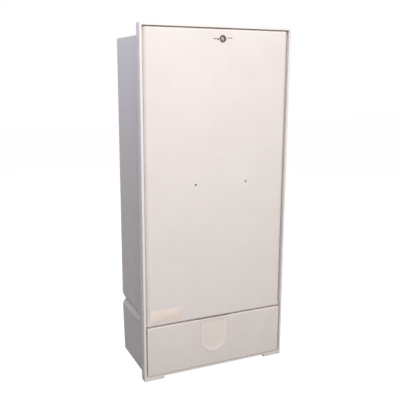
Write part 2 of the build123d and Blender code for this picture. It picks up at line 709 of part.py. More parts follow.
def pocket_box():
    """Front view of the document pocket: left, right, low and high."""
    left = LOCK_OFFSET - POCKET_WIDTH / 2
    high = RIVET_Z + POCKET_TAB / 2
    return left, left + POCKET_WIDTH, high - POCKET_HEIGHT, high


def rivet_xs():
    """The two rivets that show on the face of the door."""
    return [LOCK_OFFSET + side * RIVET_SPACING / 2 for side in SIDES]


def door_panel():
    """Moulded door: round edged tray, ribs, lock boss, hinge bosses and cam notch."""
    wall = DOOR_WALL
    radii = (DOOR_SIDE_RADIUS, DOOR_TOP_RADIUS, HINGE_RADIUS)
    inner = tuple(radius - wall for radius in radii)
    door = tray(DOOR_HALF, DOOR_LOW, DOOR_TOP, Y_FRONT, DOOR_BACK, radii, DOOR_CORNER_RADIUS)
    door -= tray(DOOR_HALF - wall, DOOR_LOW + wall, DOOR_TOP - wall, DOOR_SKIN, DOOR_BACK + CUT,
                 inner, DOOR_CORNER_RADIUS - wall)
    foot = rect(Y_FRONT + DOOR_FOOT_DEPTH, DOOR_BACK + CUT, DOOR_LOW - CUT, DOOR_LOW + wall)
    door -= side_view(foot, -DOOR_HALF - CUT, DOOR_HALF + CUT)
    left, right, low, high = pocket_box()
    inside = DOOR_HALF - wall
    margin = RIB_THICKNESS
    bay = rect(left - margin, right + margin, low - margin, high + margin)
    ribs = Sketch() + [rect(-inside, inside, z, z + margin) for z in rib_heights()]
    for side in SIDES:
        x = side * RIB_COLUMN
        ribs += rect(x - margin / 2, x + margin / 2, DOOR_LOW + wall / 2, DOOR_TOP - wall / 2)
    door += front_view(ribs - bay, DOOR_SKIN - wall / 2, DOOR_SKIN + RIB_DEPTH)
    boss_back = DOOR_SKIN + LOCK_BOSS
    door += across(LOCK_OFFSET, LOCK_Z, DOOR_SKIN - wall / 2, boss_back, Circle(LOCK_BOSS_RADIUS))
    for side in SIDES:
        end = side * (inside + wall / 2)
        start = side * (inside - HINGE_BOSS_LENGTH)
        boss = rect(DOOR_SKIN - wall / 2, Y_FRONT + DOOR_FOOT_DEPTH, DOOR_LOW + wall / 2,
                    DOOR_LOW + HINGE_BOSS_HEIGHT)
        door += side_view(boss, min(start, end), max(start, end))
        deep = (side * (DOOR_HALF - PIN_LENGTH + PIN_BORE_DEPTH), HINGE_Y, HINGE_Z)
        door -= bar(Circle(PIN_RADIUS), (side * (DOOR_HALF + CUT), HINGE_Y, HINGE_Z), deep)
    flange_seat = Circle(LOCK_FLANGE_RADIUS + LOCK_FIT)
    door -= across(LOCK_OFFSET, LOCK_Z, Y_FRONT - CUT, Y_FRONT + LOCK_FLANGE, flange_seat)
    door -= across(LOCK_OFFSET, LOCK_Z, Y_FRONT, DOOR_BACK, Circle(LOCK_BARREL_RADIUS + LOCK_FIT))
    door -= cam_notch()
    for x in rivet_xs():
        door -= across(x, RIVET_Z, Y_FRONT - CUT, DOOR_SKIN + CUT, Circle(RIVET_RADIUS + RIVET_FIT))
        seat = Circle(RIVET_HEAD_RADIUS + RIVET_FIT)
        door -= across(x, RIVET_Z, Y_FRONT - CUT, Y_FRONT + RIVET_HEAD, seat)
    door -= front_view(label_outline(), Y_FRONT - CUT, Y_FRONT + LABEL_THICKNESS)
    return door


def cam_notch():
    """Notch in the top edge of the door that lets the cam swing up behind the lip."""
    half = CAM_WIDTH / 2 + CAM_SLOT_MARGIN
    rise = DOOR_TOP - DOOR_WALL - LOCK_Z
    swing = math.sqrt(CAM_REACH ** 2 - rise ** 2) + half
    notch = rect(LOCK_OFFSET - swing, LOCK_OFFSET + half, DOOR_TOP - DOOR_WALL - CUT, DOOR_TOP + CUT)
    return front_view(notch, CAM_FRONT - CAM_NOTCH_GAP, DOOR_BACK + CUT)


def hinge_pins():
    """Pins at the lower corners of the door, that turn in the frame's bores."""
    pins = []
    for side in SIDES:
        inner = side * (DOOR_HALF - PIN_LENGTH + PIN_BORE_DEPTH)
        outer = side * (POCKET_HALF + PIN_BORE_DEPTH - PIN_END_GAP)
        pins.append(bar(Circle(PIN_RADIUS), (inner, HINGE_Y, HINGE_Z), (outer, HINGE_Y, HINGE_Z)))
    return Compound(pins)


def label_outline():
    """Shallow rectangle in the door's lower left corner for the blank plate."""
    left = -DOOR_HALF + LABEL_LEFT
    low = DOOR_LOW + LABEL_RISE
    return soft_rect(left, left + LABEL_WIDTH, low, low + LABEL_HEIGHT, LABEL_CORNER_RADIUS)


def label_plate():
    """Blank plate set flush in the face of the door."""
    return front_view(label_outline(), Y_FRONT, Y_FRONT + LABEL_THICKNESS)


def document_pocket():
    """Thin moulded pocket for the wiring diagram, hung on two rivets."""
    left, right, low, high = pocket_box()
    back = DOOR_SKIN + POCKET_DEPTH
    wall = POCKET_WALL
    plate = front_view(rect(left, right, low, high), DOOR_SKIN, DOOR_SKIN + wall)
    bin_high = low + POCKET_LIP_HEIGHT
    tray_outer = front_view(rect(left, right, low, bin_high), DOOR_SKIN, back)
    room = rect(left + wall, right - wall, low + wall, bin_high + CUT)
    tray_outer -= front_view(room, DOOR_SKIN + wall, back - wall)
    middle = (left + right) / 2
    scoop = Pos(middle, bin_high) * Circle(POCKET_SCOOP_RADIUS)
    tray_outer -= front_view(scoop, back - wall - CUT / 2, back + CUT)
    pocket = plate + tray_outer
    hole = Circle(RIVET_RADIUS + RIVET_FIT)
    for x in rivet_xs():
        pocket -= across(x, RIVET_Z, DOOR_SKIN - CUT, DOOR_SKIN + wall + CUT, hole)
    return pocket


def pocket_rivets():
    """Rivets through the door's skin and the pocket's back."""
    rivets = []
    for x in rivet_xs():
        head = across(x, RIVET_Z, Y_FRONT, Y_FRONT + RIVET_HEAD, Circle(RIVET_HEAD_RADIUS))
        shank = across(x, RIVET_Z, Y_FRONT, DOOR_SKIN + POCKET_WALL, Circle(RIVET_RADIUS))
        tail_back = DOOR_SKIN + POCKET_WALL + RIVET_HEAD
        tail = across(x, RIVET_Z, DOOR_SKIN + POCKET_WALL, tail_back, Circle(RIVET_HEAD_RADIUS))
        rivets.append(head + shank + tail)
    return Compound(rivets)


# Lock

def lock_housing():
    """Flanged barrel with an open well in front and a bore for the core."""
    back = Y_FRONT + LOCK_LENGTH
    housing = across(LOCK_OFFSET, LOCK_Z, Y_FRONT, Y_FRONT + LOCK_FLANGE, Circle(LOCK_FLANGE_RADIUS))
    housing += across(LOCK_OFFSET, LOCK_Z, Y_FRONT, back, Circle(LOCK_BARREL_RADIUS))
    well = Circle(LOCK_WELL_RADIUS)
    housing -= across(LOCK_OFFSET, LOCK_Z, Y_FRONT - CUT, Y_FRONT + LOCK_WELL_DEPTH, well)
    bore = Circle(CORE_RADIUS + CORE_CLEARANCE)
    housing -= across(LOCK_OFFSET, LOCK_Z, Y_FRONT, back + CUT, bore)
    return housing


def lock_nut():
    """Nut that draws the lock's flange against the door."""
    front = DOOR_SKIN + LOCK_BOSS
    ring = hexagon(LOCK_NUT_WIDTH) - Circle(LOCK_BARREL_RADIUS)
    return across(LOCK_OFFSET, LOCK_Z, front, front + LOCK_NUT, ring)


def lock_core():
    """Turning core: triangular key stem in the well, round shaft, square end for the cam."""
    well_floor = Y_FRONT + LOCK_WELL_DEPTH
    stem = RegularPolygon(radius=CORE_TRIANGLE_RADIUS, side_count=3, rotation=-90)
    plane = Plane(origin=(LOCK_OFFSET, well_floor - CAM_GAP, LOCK_Z), x_dir=(1, 0, 0), z_dir=(0, -1, 0))
    core = extrude(plane * stem, amount=CORE_TRIANGLE_DEPTH - CAM_GAP)
    core += across(LOCK_OFFSET, LOCK_Z, well_floor - CAM_GAP, CAM_FRONT, Circle(CORE_RADIUS))
    square = Rectangle(CORE_SQUARE, CORE_SQUARE)
    core += across(LOCK_OFFSET, LOCK_Z, CAM_FRONT, CAM_BACK, square)
    hole_front = CAM_BACK - CAM_SCREW_LENGTH
    core -= across(LOCK_OFFSET, LOCK_Z, hole_front, CAM_BACK + CUT, Circle(CAM_SCREW_RADIUS))
    return core


def lock_cam():
    """Flat steel cam, free of the frame and pointing to the left until it is turned up."""
    long = CAM_REACH - CAM_WIDTH / 2
    sketch = rect(-long, 0, -CAM_WIDTH / 2, CAM_WIDTH / 2) + Circle(CAM_WIDTH / 2)
    sketch += Pos(-long, 0) * Circle(CAM_WIDTH / 2)
    sketch -= Rectangle(CORE_SQUARE, CORE_SQUARE)
    return Pos(LOCK_OFFSET, 0, LOCK_Z) * front_view(sketch, CAM_FRONT, CAM_BACK)


def cam_screw():
    """Hexagon screw that holds the cam on the core."""
    head = across(LOCK_OFFSET, LOCK_Z, CAM_BACK, CAM_BACK + CAM_SCREW_HEAD, hexagon(CAM_SCREW_WIDTH))
    front = CAM_BACK - CAM_SCREW_LENGTH
    return head + across(LOCK_OFFSET, LOCK_Z, front, CAM_BACK, Circle(CAM_SCREW_RADIUS))


# Rails, busbars and insulators

def channel():
    """Lipped channel section, its back on the X axis and its slot towards -Y."""
    half = RAIL_WIDTH / 2
    section = rect(-half, half, -RAIL_DEPTH, 0)
    section -= rect(-half + RAIL_WALL, half - RAIL_WALL, -RAIL_DEPTH + RAIL_WALL, -RAIL_WALL)
    return section - rect(-RAIL_SLOT / 2, RAIL_SLOT / 2, -RAIL_DEPTH - CUT, -RAIL_DEPTH / 2)


def mounting_rail(side):
    """Upright steel rail bolted to two bosses of the tub."""
    rail = Pos(side * RAIL_X, RAIL_BACK) * top_view(channel(), RAIL_LOW, RAIL_HIGH)
    for x, z in rail_bolt_places():
        rail -= across(x, z, RAIL_BACK - RAIL_WALL - CUT, RAIL_BACK + CUT, Circle(BOLT_RADIUS + BOLT_FIT))
    return rail


def hex_bolt(x, z, seat, length):
    """Hexagon bolt whose head sits in front of a seat and whose shank runs back from it."""
    head = across(x, z, seat - BOLT_HEAD, seat, hexagon(BOLT_HEAD_WIDTH))
    return head + across(x, z, seat, seat + length, Circle(BOLT_RADIUS))


def rail_bolts():
    """Bolts that hold the rails to the tub."""
    seat = RAIL_BACK - RAIL_WALL
    length = RAIL_WALL + RAIL_BOSS_LENGTH
    return Compound([hex_bolt(x, z, seat, length) for x, z in rail_bolt_places()])


def insulator(x, z):
    """Ribbed post insulator between a rail and a bar."""
    low = (INSULATOR_LENGTH - INSULATOR_GROOVE) / 2
    high = low + INSULATOR_GROOVE
    points = [
        (0, 0), (INSULATOR_RADIUS, 0), (INSULATOR_RADIUS, low), (INSULATOR_WAIST, low),
        (INSULATOR_WAIST, high), (INSULATOR_RADIUS, high),
        (INSULATOR_RADIUS, INSULATOR_LENGTH), (0, INSULATOR_LENGTH),
    ]
    post = revolve(make_face(Polyline(*points, close=True)), Axis.Y)
    post = Pos(x, BAR_BACK, z) * post
    return post - across(x, z, BAR_BACK - CUT, BAR_BACK + INSULATOR_LENGTH / 2, Circle(BOLT_RADIUS))


def insulators(side):
    """Posts on one rail, three for the phases and one for the neutral."""
    return Compound([insulator(side * RAIL_X, z) for z in BAR_HEIGHTS + [NEUTRAL_Z]])


def flat_bar(width, back, thickness, mid_z):
    """Flat bar across both rails with a hole in front of each."""
    sketch = rect(-BAR_HALF_LENGTH, BAR_HALF_LENGTH, mid_z - width / 2, mid_z + width / 2)
    for side in SIDES:
        sketch -= Pos(side * RAIL_X, mid_z) * Circle(BAR_HOLE_RADIUS)
    return front_view(sketch, back - thickness, back)


def busbar(z):
    """Copper bar bolted on two posts."""
    return flat_bar(BAR_WIDTH, BAR_BACK, BAR_THICKNESS, z)


def busbar_bolts():
    """Bolts through the ends of the four bars into their posts."""
    heights = BAR_HEIGHTS + [NEUTRAL_Z]
    length = BAR_THICKNESS + INSULATOR_LENGTH / 2
    return Compound([hex_bolt(side * RAIL_X, z, BAR_FRONT, length) for side in SIDES for z in heights])


# Fuse strips

def strip_base(x):
    """Moulded carrier on the three busbars, a well for each fuse and a stepped tail."""
    left = x - STRIP_WIDTH / 2
    right = x + STRIP_WIDTH / 2
    step = BAR_HEIGHTS[-1] - BAR_PITCH / 2
    tail_front = BAR_FRONT - STRIP_TAIL_DEPTH
    outline = [
        (STRIP_FRONT, STRIP_TOP), (BAR_FRONT, STRIP_TOP), (BAR_FRONT, STRIP_LOW),
        (tail_front, STRIP_LOW), (tail_front, step), (STRIP_FRONT, step),
    ]
    base = side_view(make_face(Polyline(*outline, close=True)), left, right)
    for z in BAR_HEIGHTS:
        well = rect(left + STRIP_WALL, right - STRIP_WALL, z - WELL_HEIGHT / 2, z + WELL_HEIGHT / 2)
        base -= front_view(well, STRIP_FRONT - CUT, STRIP_FRONT + WELL_DEPTH)
    return base


def blade_z(z, end):
    """Middle height of one blade of the fuse at height z."""
    return z + end * (FUSE_HEIGHT + BLADE_HEIGHT) / 2


def contact_jaws(x):
    """Spring jaws that the blades of three fuses plug into."""
    jaws = []
    gap = BLADE_WIDTH / 2 + JAW_GAP
    outer = gap + JAW_WALL
    floor = STRIP_FRONT + WELL_DEPTH
    section = rect(x - outer, x + outer, floor - JAW_LENGTH, floor)
    section -= rect(x - gap, x + gap, floor - JAW_LENGTH - CUT, floor - JAW_WALL)
    for z in BAR_HEIGHTS:
        for end in SIDES:
            middle = blade_z(z, end)
            jaws.append(top_view(section, middle - JAW_HEIGHT / 2, middle + JAW_HEIGHT / 2))
    return Compound(jaws)


def fuse_bodies(x):
    """Ceramic bodies of the three fuse links of a strip."""
    fuses = []
    for z in BAR_HEIGHTS:
        plan = soft_rect(x - FUSE_WIDTH / 2, x + FUSE_WIDTH / 2, FUSE_FRONT, FUSE_FRONT + FUSE_DEPTH,
                         LID_WALL)
        fuses.append(top_view(plan, z - FUSE_HEIGHT / 2, z + FUSE_HEIGHT / 2))
    return Compound(fuses)


def fuse_blades(x):
    """Knife blades at both ends of the three fuse links."""
    blades = []
    middle = FUSE_FRONT + FUSE_DEPTH / 2
    plan = rect(x - BLADE_WIDTH / 2, x + BLADE_WIDTH / 2, middle - BLADE_DEPTH / 2, middle + BLADE_DEPTH / 2)
    for z in BAR_HEIGHTS:
        for end in SIDES:
            centre = blade_z(z, end)
            blades.append(top_view(plan, centre - BLADE_HEIGHT / 2, centre + BLADE_HEIGHT / 2))
    return Compound(blades)


def fuse_lid(x):
    """Pull-out lid of a strip with a grip in front and a pad behind for each fuse."""
    half = STRIP_WIDTH / 2 - LID_MARGIN
    back = STRIP_FRONT - LID_SEAT
    front = back - LID_DEPTH
    high = STRIP_TOP - LID_MARGIN
    low = BAR_HEIGHTS[-1] - BAR_PITCH / 2 + LID_MARGIN
    lid = front_view(soft_rect(x - half, x + half, low, high, LID_RADIUS), front, back)
    room = soft_rect(x - half + LID_WALL, x + half - LID_WALL, low + LID_WALL, high - LID_WALL, LID_WALL)
    lid -= front_view(room, front + LID_WALL, back + CUT)
    for z in BAR_HEIGHTS:
        pad = Pos(x, z) * Rectangle(LID_PAD_WIDTH, LID_PAD_HEIGHT)
        lid += front_view(pad, front + LID_WALL / 2, FUSE_FRONT)
    middle = BAR_HEIGHTS[1]
    reach = front - GRIP_REACH
    bow = rect(reach, front + LID_WALL / 2, middle - GRIP_HEIGHT / 2, middle + GRIP_HEIGHT / 2)
    bow = fillet(bow.vertices().group_by(Axis.X)[0], GRIP_THICKNESS)
    hand = rect(reach + GRIP_THICKNESS, front, middle - GRIP_HEIGHT / 2 + GRIP_THICKNESS,
                middle + GRIP_HEIGHT / 2 - GRIP_THICKNESS)
    hand = fillet(hand.vertices().group_by(Axis.X)[0], GRIP_THICKNESS / 2)
    return lid + side_view(bow - hand, x - GRIP_WIDTH / 2, x + GRIP_WIDTH / 2)


# Clamps for conductors

def clamp(x, z, seat, width):
    """Box clamp in front of a seat, open at the foot, with its screw on the face."""
    half = width / 2
    front = seat - CLAMP_DEPTH
    block = rect(x - half, x + half, z - CLAMP_HEIGHT / 2, z + CLAMP_HEIGHT / 2)
    solid = front_view(block, front, seat)
    mouth = rect(x - half + CLAMP_WALL, x + half - CLAMP_WALL, seat - CLAMP_WALL - CLAMP_MOUTH_DEPTH,
                 seat - CLAMP_WALL)
    low = z - CLAMP_HEIGHT / 2
    solid -= top_view(mouth, low - CUT, low + CLAMP_MOUTH_HEIGHT)
    return solid + across(x, z, front - CLAMP_SCREW, front, hexagon(CLAMP_SCREW_WIDTH))


def outgoing_clamps(x):
    """Three staggered clamps on the tail of a strip, one for each phase."""
    seat = BAR_FRONT - STRIP_TAIL_DEPTH
    high = BAR_HEIGHTS[-1] - BAR_PITCH / 2 - CLAMP_HEIGHT
    pitch = CLAMP_WIDTH + LID_WALL
    rows = range(-1, 2)
    places = [(x + row * pitch, high - (row + 1) * CLAMP_STAGGER) for row in rows]
    return Compound([clamp(place, z, seat, CLAMP_WIDTH) for place, z in places])


def incoming_clamps():
    """Large clamps on the left of the phase bars, for the supply."""
    return Compound([clamp(INCOMING_OFFSET, z, BAR_FRONT, INCOMING_WIDTH) for z in BAR_HEIGHTS])


def clamp_row(count, z, seat):
    """Evenly spaced clamps along a bar."""
    reach = RAIL_X - CLAMP_ROW_MARGIN
    pitch = 2 * reach / (count - 1)
    return Compound([clamp(-reach + place * pitch, z, seat, CLAMP_WIDTH) for place in range(count)])


# Earth bar and cable rail

def earth_bar():
    """Bare bar on two spacers under the neutral."""
    return flat_bar(EARTH_WIDTH, EARTH_BACK, EARTH_THICKNESS, EARTH_Z)


def earth_spacers():
    """Round steel spacers between the rails and the earth bar."""
    ring = Circle(EARTH_SPACER_RADIUS) - Circle(BOLT_RADIUS + BOLT_FIT)
    return Compound([across(side * RAIL_X, EARTH_Z, EARTH_BACK, RAIL_FRONT, ring) for side in SIDES])


def earth_bolts():
    """Bolts through the earth bar and its spacers into the rails."""
    seat = EARTH_BACK - EARTH_THICKNESS
    length = EARTH_THICKNESS + EARTH_SPACER_LENGTH + RAIL_DEPTH / 2
    return Compound([hex_bolt(side * RAIL_X, EARTH_Z, seat, length) for side in SIDES])


def cable_arm(side):
    """Bent steel arm from a rail out to the cable rail."""
    x = side * RAIL_X
    half = ARM_WIDTH / 2
    low = CABLE_RAIL_Z - half
    high = CABLE_RAIL_Z + half
    wall = ARM_THICKNESS
    plan = rect(x - half, x + half, RAIL_FRONT - wall, RAIL_FRONT)
    plan += rect(x - half, x - half + wall, CABLE_RAIL_BACK, RAIL_FRONT)
    plan += rect(x - half, x + half, CABLE_RAIL_BACK, CABLE_RAIL_BACK + wall)
    return top_view(plan, low, high)


def cable_rail():
    """Level channel that the cable saddles clip on."""
    plane = Plane(origin=(-CABLE_RAIL_HALF, CABLE_RAIL_BACK, CABLE_RAIL_Z),
                  x_dir=(0, 0, -1), z_dir=(1, 0, 0))
    return extrude(plane * channel(), amount=2 * CABLE_RAIL_HALF)


def cable_saddle(x):
    """Moulded half round saddle that a cable is strapped to."""
    half = SADDLE_WIDTH / 2
    back = CABLE_RAIL_FRONT
    front = back - SADDLE_DEPTH
    plan = rect(x - half, x + half, front, back)
    plan -= Pos(x, front) * Circle(half - SADDLE_WALL)
    low = CABLE_RAIL_Z - SADDLE_HEIGHT / 2
    return top_view(plan, low, low + SADDLE_HEIGHT)


def cable_saddles():
    """Saddles evenly spaced along the rail."""
    middle = (SADDLE_COUNT - 1) / 2
    return Compound([cable_saddle((number - middle) * SADDLE_PITCH) for number in range(SADDLE_COUNT)])


def write_parts():
    """Build every piece and write one file for each."""
    os.makedirs("parts", exist_ok=True)
    pieces = {
        "rear_tub": rear_tub(),
        "front_frame": front_frame(),
        "frame_web": frame_web(),
        "frame_screws": frame_screws(),
        "lock_keeper": lock_keeper(),
        "keeper_rivets": keeper_rivets(),
        "lower_panel": lower_panel(),
        "panel_screws": panel_screws(),
        "cable_shutter": cable_shutter(),
        "door_panel": door_panel(),
        "label_plate": label_plate(),
        "document_pocket": document_pocket(),
        "pocket_rivets": pocket_rivets(),
        "lock_housing": lock_housing(),
        "lock_nut": lock_nut(),
        "lock_core": lock_core(),
        "lock_cam": lock_cam(),
        "cam_screw": cam_screw(),
        "rail_bolts": rail_bolts(),
        "busbar_bolts": busbar_bolts(),
        "neutral_bar": busbar(NEUTRAL_Z),
        "neutral_clamps": clamp_row(NEUTRAL_CLAMPS, NEUTRAL_Z, BAR_FRONT),
        "incoming_clamps": incoming_clamps(),
        "earth_bar": earth_bar(),
        "earth_spacers": earth_spacers(),
        "earth_bolts": earth_bolts(),
        "earth_clamps": clamp_row(EARTH_CLAMPS, EARTH_Z, EARTH_BACK - EARTH_THICKNESS),
        "cable_rail": cable_rail(),
        "cable_saddles": cable_saddles(),
        "side_plugs": side_plugs(),
        "hinge_pins": hinge_pins(),
    }
    for side, name in zip(SIDES, ("left", "right")):
        pieces["mounting_rail_" + name] = mounting_rail(side)
        pieces["insulators_" + name] = insulators(side)
        pieces["cable_arm_" + name] = cable_arm(side)
    for row, z in enumerate(BAR_HEIGHTS):
        pieces[f"busbar_{row + 1}"] = busbar(z)
    for strip, x in enumerate(STRIP_XS):
        pieces[f"strip_base_{strip + 1}"] = strip_base(x)
        pieces[f"contact_jaws_{strip + 1}"] = contact_jaws(x)
        pieces[f"outgoing_clamps_{strip + 1}"] = outgoing_clamps(x)
        pieces[f"fuse_lid_{strip + 1}"] = fuse_lid(x)
        pieces[f"fuse_bodies_{strip + 1}"] = fuse_bodies(x)
        pieces[f"fuse_blades_{strip + 1}"] = fuse_blades(x)
    for node, shape in pieces.items():
        export_step(shape, f"parts/{node}.step")
    print(len(pieces), "pieces written")


write_parts()
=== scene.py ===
# %% [markdown]
# # A roadside utility cabinet, dressed in Blender
# The cabinet is a warm white moulded polyester box that stands beside a road. Its shapes
# come from a CAD model, so this lesson loads them as they are and never moves them. What
# is left for Blender is how the thing looks: the plastic, the lock, the metal inside, the
# light and the camera. Lengths are in metres, and the door faces -Y.

import math

import bmesh
import bpy
from mathutils import Euler, Matrix, Vector


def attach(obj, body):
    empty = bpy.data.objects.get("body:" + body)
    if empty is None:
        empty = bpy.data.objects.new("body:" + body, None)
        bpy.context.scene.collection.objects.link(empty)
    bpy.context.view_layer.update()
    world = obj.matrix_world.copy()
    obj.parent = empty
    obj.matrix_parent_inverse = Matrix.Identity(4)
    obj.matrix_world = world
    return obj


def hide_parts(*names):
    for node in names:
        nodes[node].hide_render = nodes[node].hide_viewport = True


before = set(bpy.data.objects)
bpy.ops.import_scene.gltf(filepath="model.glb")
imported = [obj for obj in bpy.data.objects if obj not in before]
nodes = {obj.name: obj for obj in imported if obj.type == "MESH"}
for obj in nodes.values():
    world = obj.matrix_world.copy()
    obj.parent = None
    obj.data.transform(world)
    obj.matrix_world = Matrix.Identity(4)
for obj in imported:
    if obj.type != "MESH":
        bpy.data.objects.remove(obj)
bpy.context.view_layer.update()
MM = 0.001

# %% [markdown]
# ## The camera
# The photograph was taken from the front left, a little above the cabinet's middle.
# Fitting the edges of the frame gives the place and the lens, and a turn of a quarter of
# a degree about the view, because the camera was held a little out of level. The camera
# is made first, because everything else is judged through it.

# %% Place the camera
CAMERA_PLACE = (-0.7858, -1.7325, 0.9363)
CAMERA_HEADING = 24.415
CAMERA_DROP = 11.982
CAMERA_ROLL = 0.284
CAMERA_LENS = 53.256

camera_data = bpy.data.cameras.new("photo_camera")
camera_data.sensor_width = 36.0
camera_data.lens = CAMERA_LENS
camera = bpy.data.objects.new("photo_camera", camera_data)
camera.location = CAMERA_PLACE
level_view = Euler((math.radians(90.0 - CAMERA_DROP), 0.0, -math.radians(CAMERA_HEADING)))
roll = Matrix.Rotation(math.radians(CAMERA_ROLL), 3, "Z")
camera.rotation_euler = (level_view.to_matrix() @ roll).to_euler()
bpy.context.scene.collection.objects.link(camera)
bpy.context.scene.camera = camera
print("camera at", CAMERA_PLACE)

# %% [markdown]
# ## Small helpers for materials
# A finish is a little tree of nodes. The helpers below start one, add a node with its
# values or wires, and read a pattern of a given size in the part's own coordinates, so
# that a pattern stays on the piece when a joint moves it. Colours are written as a paint
# chart gives them, from 0 to 255, and turned into the linear values that a shader wants.


# %% Helpers for node materials
def paint(red, green, blue):
    """Linear colour from a paint chart's 0 to 255 values."""
    def linear(value):
        share = value / 255.0
        return share / 12.92 if share <= 0.04045 else ((share + 0.055) / 1.055) ** 2.4
    return (linear(red), linear(green), linear(blue), 1.0)


def add_node(tree, kind, inputs=None, **settings):
    """Node of one kind, with its settings, its numbers and the wires into it."""
    made = tree.nodes.new(kind)
    for key, value in settings.items():
        setattr(made, key, value)
    for socket, value in (inputs or {}).items():
        if isinstance(value, bpy.types.NodeSocket):
            tree.links.new(value, made.inputs[socket])
        else:
            made.inputs[socket].default_value = value
    return made


def start_finish(name, roughness, metallic=0.0, specular=0.5):
    """New material, its node tree, its shader and the part's own coordinates."""
    finish = bpy.data.materials.new(name)
    finish.use_nodes = True
    tree = finish.node_tree
    shader = tree.nodes["Principled BSDF"]
    shader.inputs["Roughness"].default_value = roughness
    shader.inputs["Metallic"].default_value = metallic
    shader.inputs["Specular IOR Level"].default_value = specular
    place = add_node(tree, "ShaderNodeTexCoord").outputs["Object"]
    return finish, tree, shader, place


def grain(tree, place, size, detail=2.0, stretch=(1.0, 1.0, 1.0)):
    """Noise from 0 to 1 in blobs of about one size, longer where stretched."""
    scale = [1.0 / (size * factor) for factor in stretch]
    spread = add_node(tree, "ShaderNodeMapping", {"Vector": place, "Scale": scale})
    pattern = {"Vector": spread.outputs["Vector"], "Scale": 1.0, "Detail": detail}
    return add_node(tree, "ShaderNodeTexNoise", pattern).outputs["Fac"]


def ramp(tree, factor, stops):
    """Colour ramp over a factor, from (position, colour) stops."""
    made = add_node(tree, "ShaderNodeValToRGB", {"Fac": factor})
    elements = made.color_ramp.elements
    while len(elements) < len(stops):
        elements.new(1.0)
    for element, (position, colour) in zip(elements, stops):
        element.position = position
        element.color = colour
    return made.outputs["Color"]


def between(tree, value, low, high, low_out=0.0, high_out=1.0):
    """Number carried from one range to another and held at its ends."""
    ends = {"Value": value, "From Min": low, "From Max": high,
            "To Min": low_out, "To Max": high_out}
    return add_node(tree, "ShaderNodeMapRange", ends).outputs["Result"]


def maths(tree, operation, *values):
    """One sum of two numbers, or of three where it takes a tolerance."""
    made = add_node(tree, "ShaderNodeMath", dict(enumerate(values)), operation=operation)
    return made.outputs[0]


def over(tree, factor, under, top):
    """One colour laid over another by a factor."""
    mix = add_node(tree, "ShaderNodeMix", {0: factor, 6: under, 7: top}, data_type="RGBA")
    return mix.outputs[2]


def relief(tree, shader, height, depth, strength=1.0):
    """Bump of a real depth in metres."""
    bump = {"Height": height, "Distance": depth, "Strength": strength}
    tree.links.new(add_node(tree, "ShaderNodeBump", bump).outputs["Normal"],
                   shader.inputs["Normal"])


def seen_straight(tree):
    """1 for what the eye, gloss or glass sees of a thing, 0 for the light it gives."""
    path = add_node(tree, "ShaderNodeLightPath").outputs
    seen = maths(tree, "MAXIMUM", path["Is Camera Ray"], path["Is Glossy Ray"])
    return maths(tree, "MAXIMUM", seen, path["Is Transmission Ray"])


print("helpers ready")

# %% [markdown]
# ## Moulded polyester
# The shell is pressed from glass filled polyester. Seen close, it has a faint cloudiness
# where the resin flowed, a speckle of fibre under the skin, and a fine orange peel that
# breaks up the highlight. Outdoors it gathers a little road dust near the ground and a
# few pale rain streaks. Each of these is one noise of its own size, and all of them are
# kept faint. The frame and the shutter carry painted light: their colour is a shade
# lighter than the rest. On the tub the dust colour climbs higher, as painted shade that
# darkens it towards the bottom.

# %% The shell's finish
SHELL_LIGHT = paint(245, 237, 234)
SHELL_DARK = paint(242, 234, 230)
SHELL_FIBRE = paint(228, 219, 214)
# Road dust near the ground; on the tub the same colour, reaching high, is painted shade.
ROAD_DUST_AND_SHADE = paint(180, 164, 151)

# How large each pattern is, and the most that the faint ones show.
CLOUD_SIZE, FIBRE_SIZE, DUST_AND_SHADE_MOTTLE_SIZE = 90 * MM, 3.5 * MM, 35 * MM
STREAK_WIDTH, STREAK_RUN = 12 * MM, (1.0, 1.0, 28.0)
GLOSS_SIZE, PEEL_SIZE, PEEL_DEPTH = 25 * MM, 1.3 * MM, 0.05 * MM
FIBRE_SHOWS, STREAK_SHOWS = 0.22, 0.08
SHELL_SPECULAR = 0.3


def shell_colour(tree, place, dark=SHELL_DARK, light=SHELL_LIGHT, dust=0.28, reach=0.22):
    """Cloudy resin, fibre speckle, rain streaks, and dust colour low down, painted shade
    where it reaches high.
    """
    cloud = grain(tree, place, CLOUD_SIZE, detail=3.0)
    colour = ramp(tree, cloud, [(0.35, dark), (0.65, light)])
    fibre = grain(tree, place, FIBRE_SIZE, detail=4.0)
    fibre = between(tree, fibre, 0.56, 0.72, 0.0, FIBRE_SHOWS)
    colour = over(tree, fibre, colour, SHELL_FIBRE)
    streak = grain(tree, place, STREAK_WIDTH, detail=2.0, stretch=STREAK_RUN)
    streak = between(tree, streak, 0.52, 0.75, 0.0, STREAK_SHOWS)
    colour = over(tree, streak, colour, SHELL_FIBRE)
    height = add_node(tree, "ShaderNodeSeparateXYZ", {0: place}).outputs["Z"]
    # Darker towards the ground: road dust, and on the tub painted shade that reaches far
    # up.
    low = between(tree, height, 0.0, reach, dust, 0.0)
    dust_and_shade_mottle = grain(tree, place, DUST_AND_SHADE_MOTTLE_SIZE, detail=5.0)
    dust_and_shade_mottle = between(tree, dust_and_shade_mottle, 0.35, 0.75, 0.30, 0.60)
    return over(tree, maths(tree, "MULTIPLY", low, dust_and_shade_mottle), colour, ROAD_DUST_AND_SHADE)


def shell_skin(tree, shader, place):
    """Satin gloss that varies, over a fine orange peel."""
    gloss = grain(tree, place, GLOSS_SIZE, detail=3.0)
    gloss = between(tree, gloss, 0.3, 0.7, 0.50, 0.62)
    tree.links.new(gloss, shader.inputs["Roughness"])
    relief(tree, shader, grain(tree, place, PEEL_SIZE), PEEL_DEPTH, 0.6)


def moulded_shell(name, **look):
    """Finish of the tub, frame, panel and shutter: lighter frame and shutter are painted
    light, the tub's high dust is painted shade.
    """
    finish, tree, shader, place = start_finish(name, 0.55, specular=SHELL_SPECULAR)
    tree.links.new(shell_colour(tree, place, **look), shader.inputs["Base Color"])
    shell_skin(tree, shader, place)
    return finish


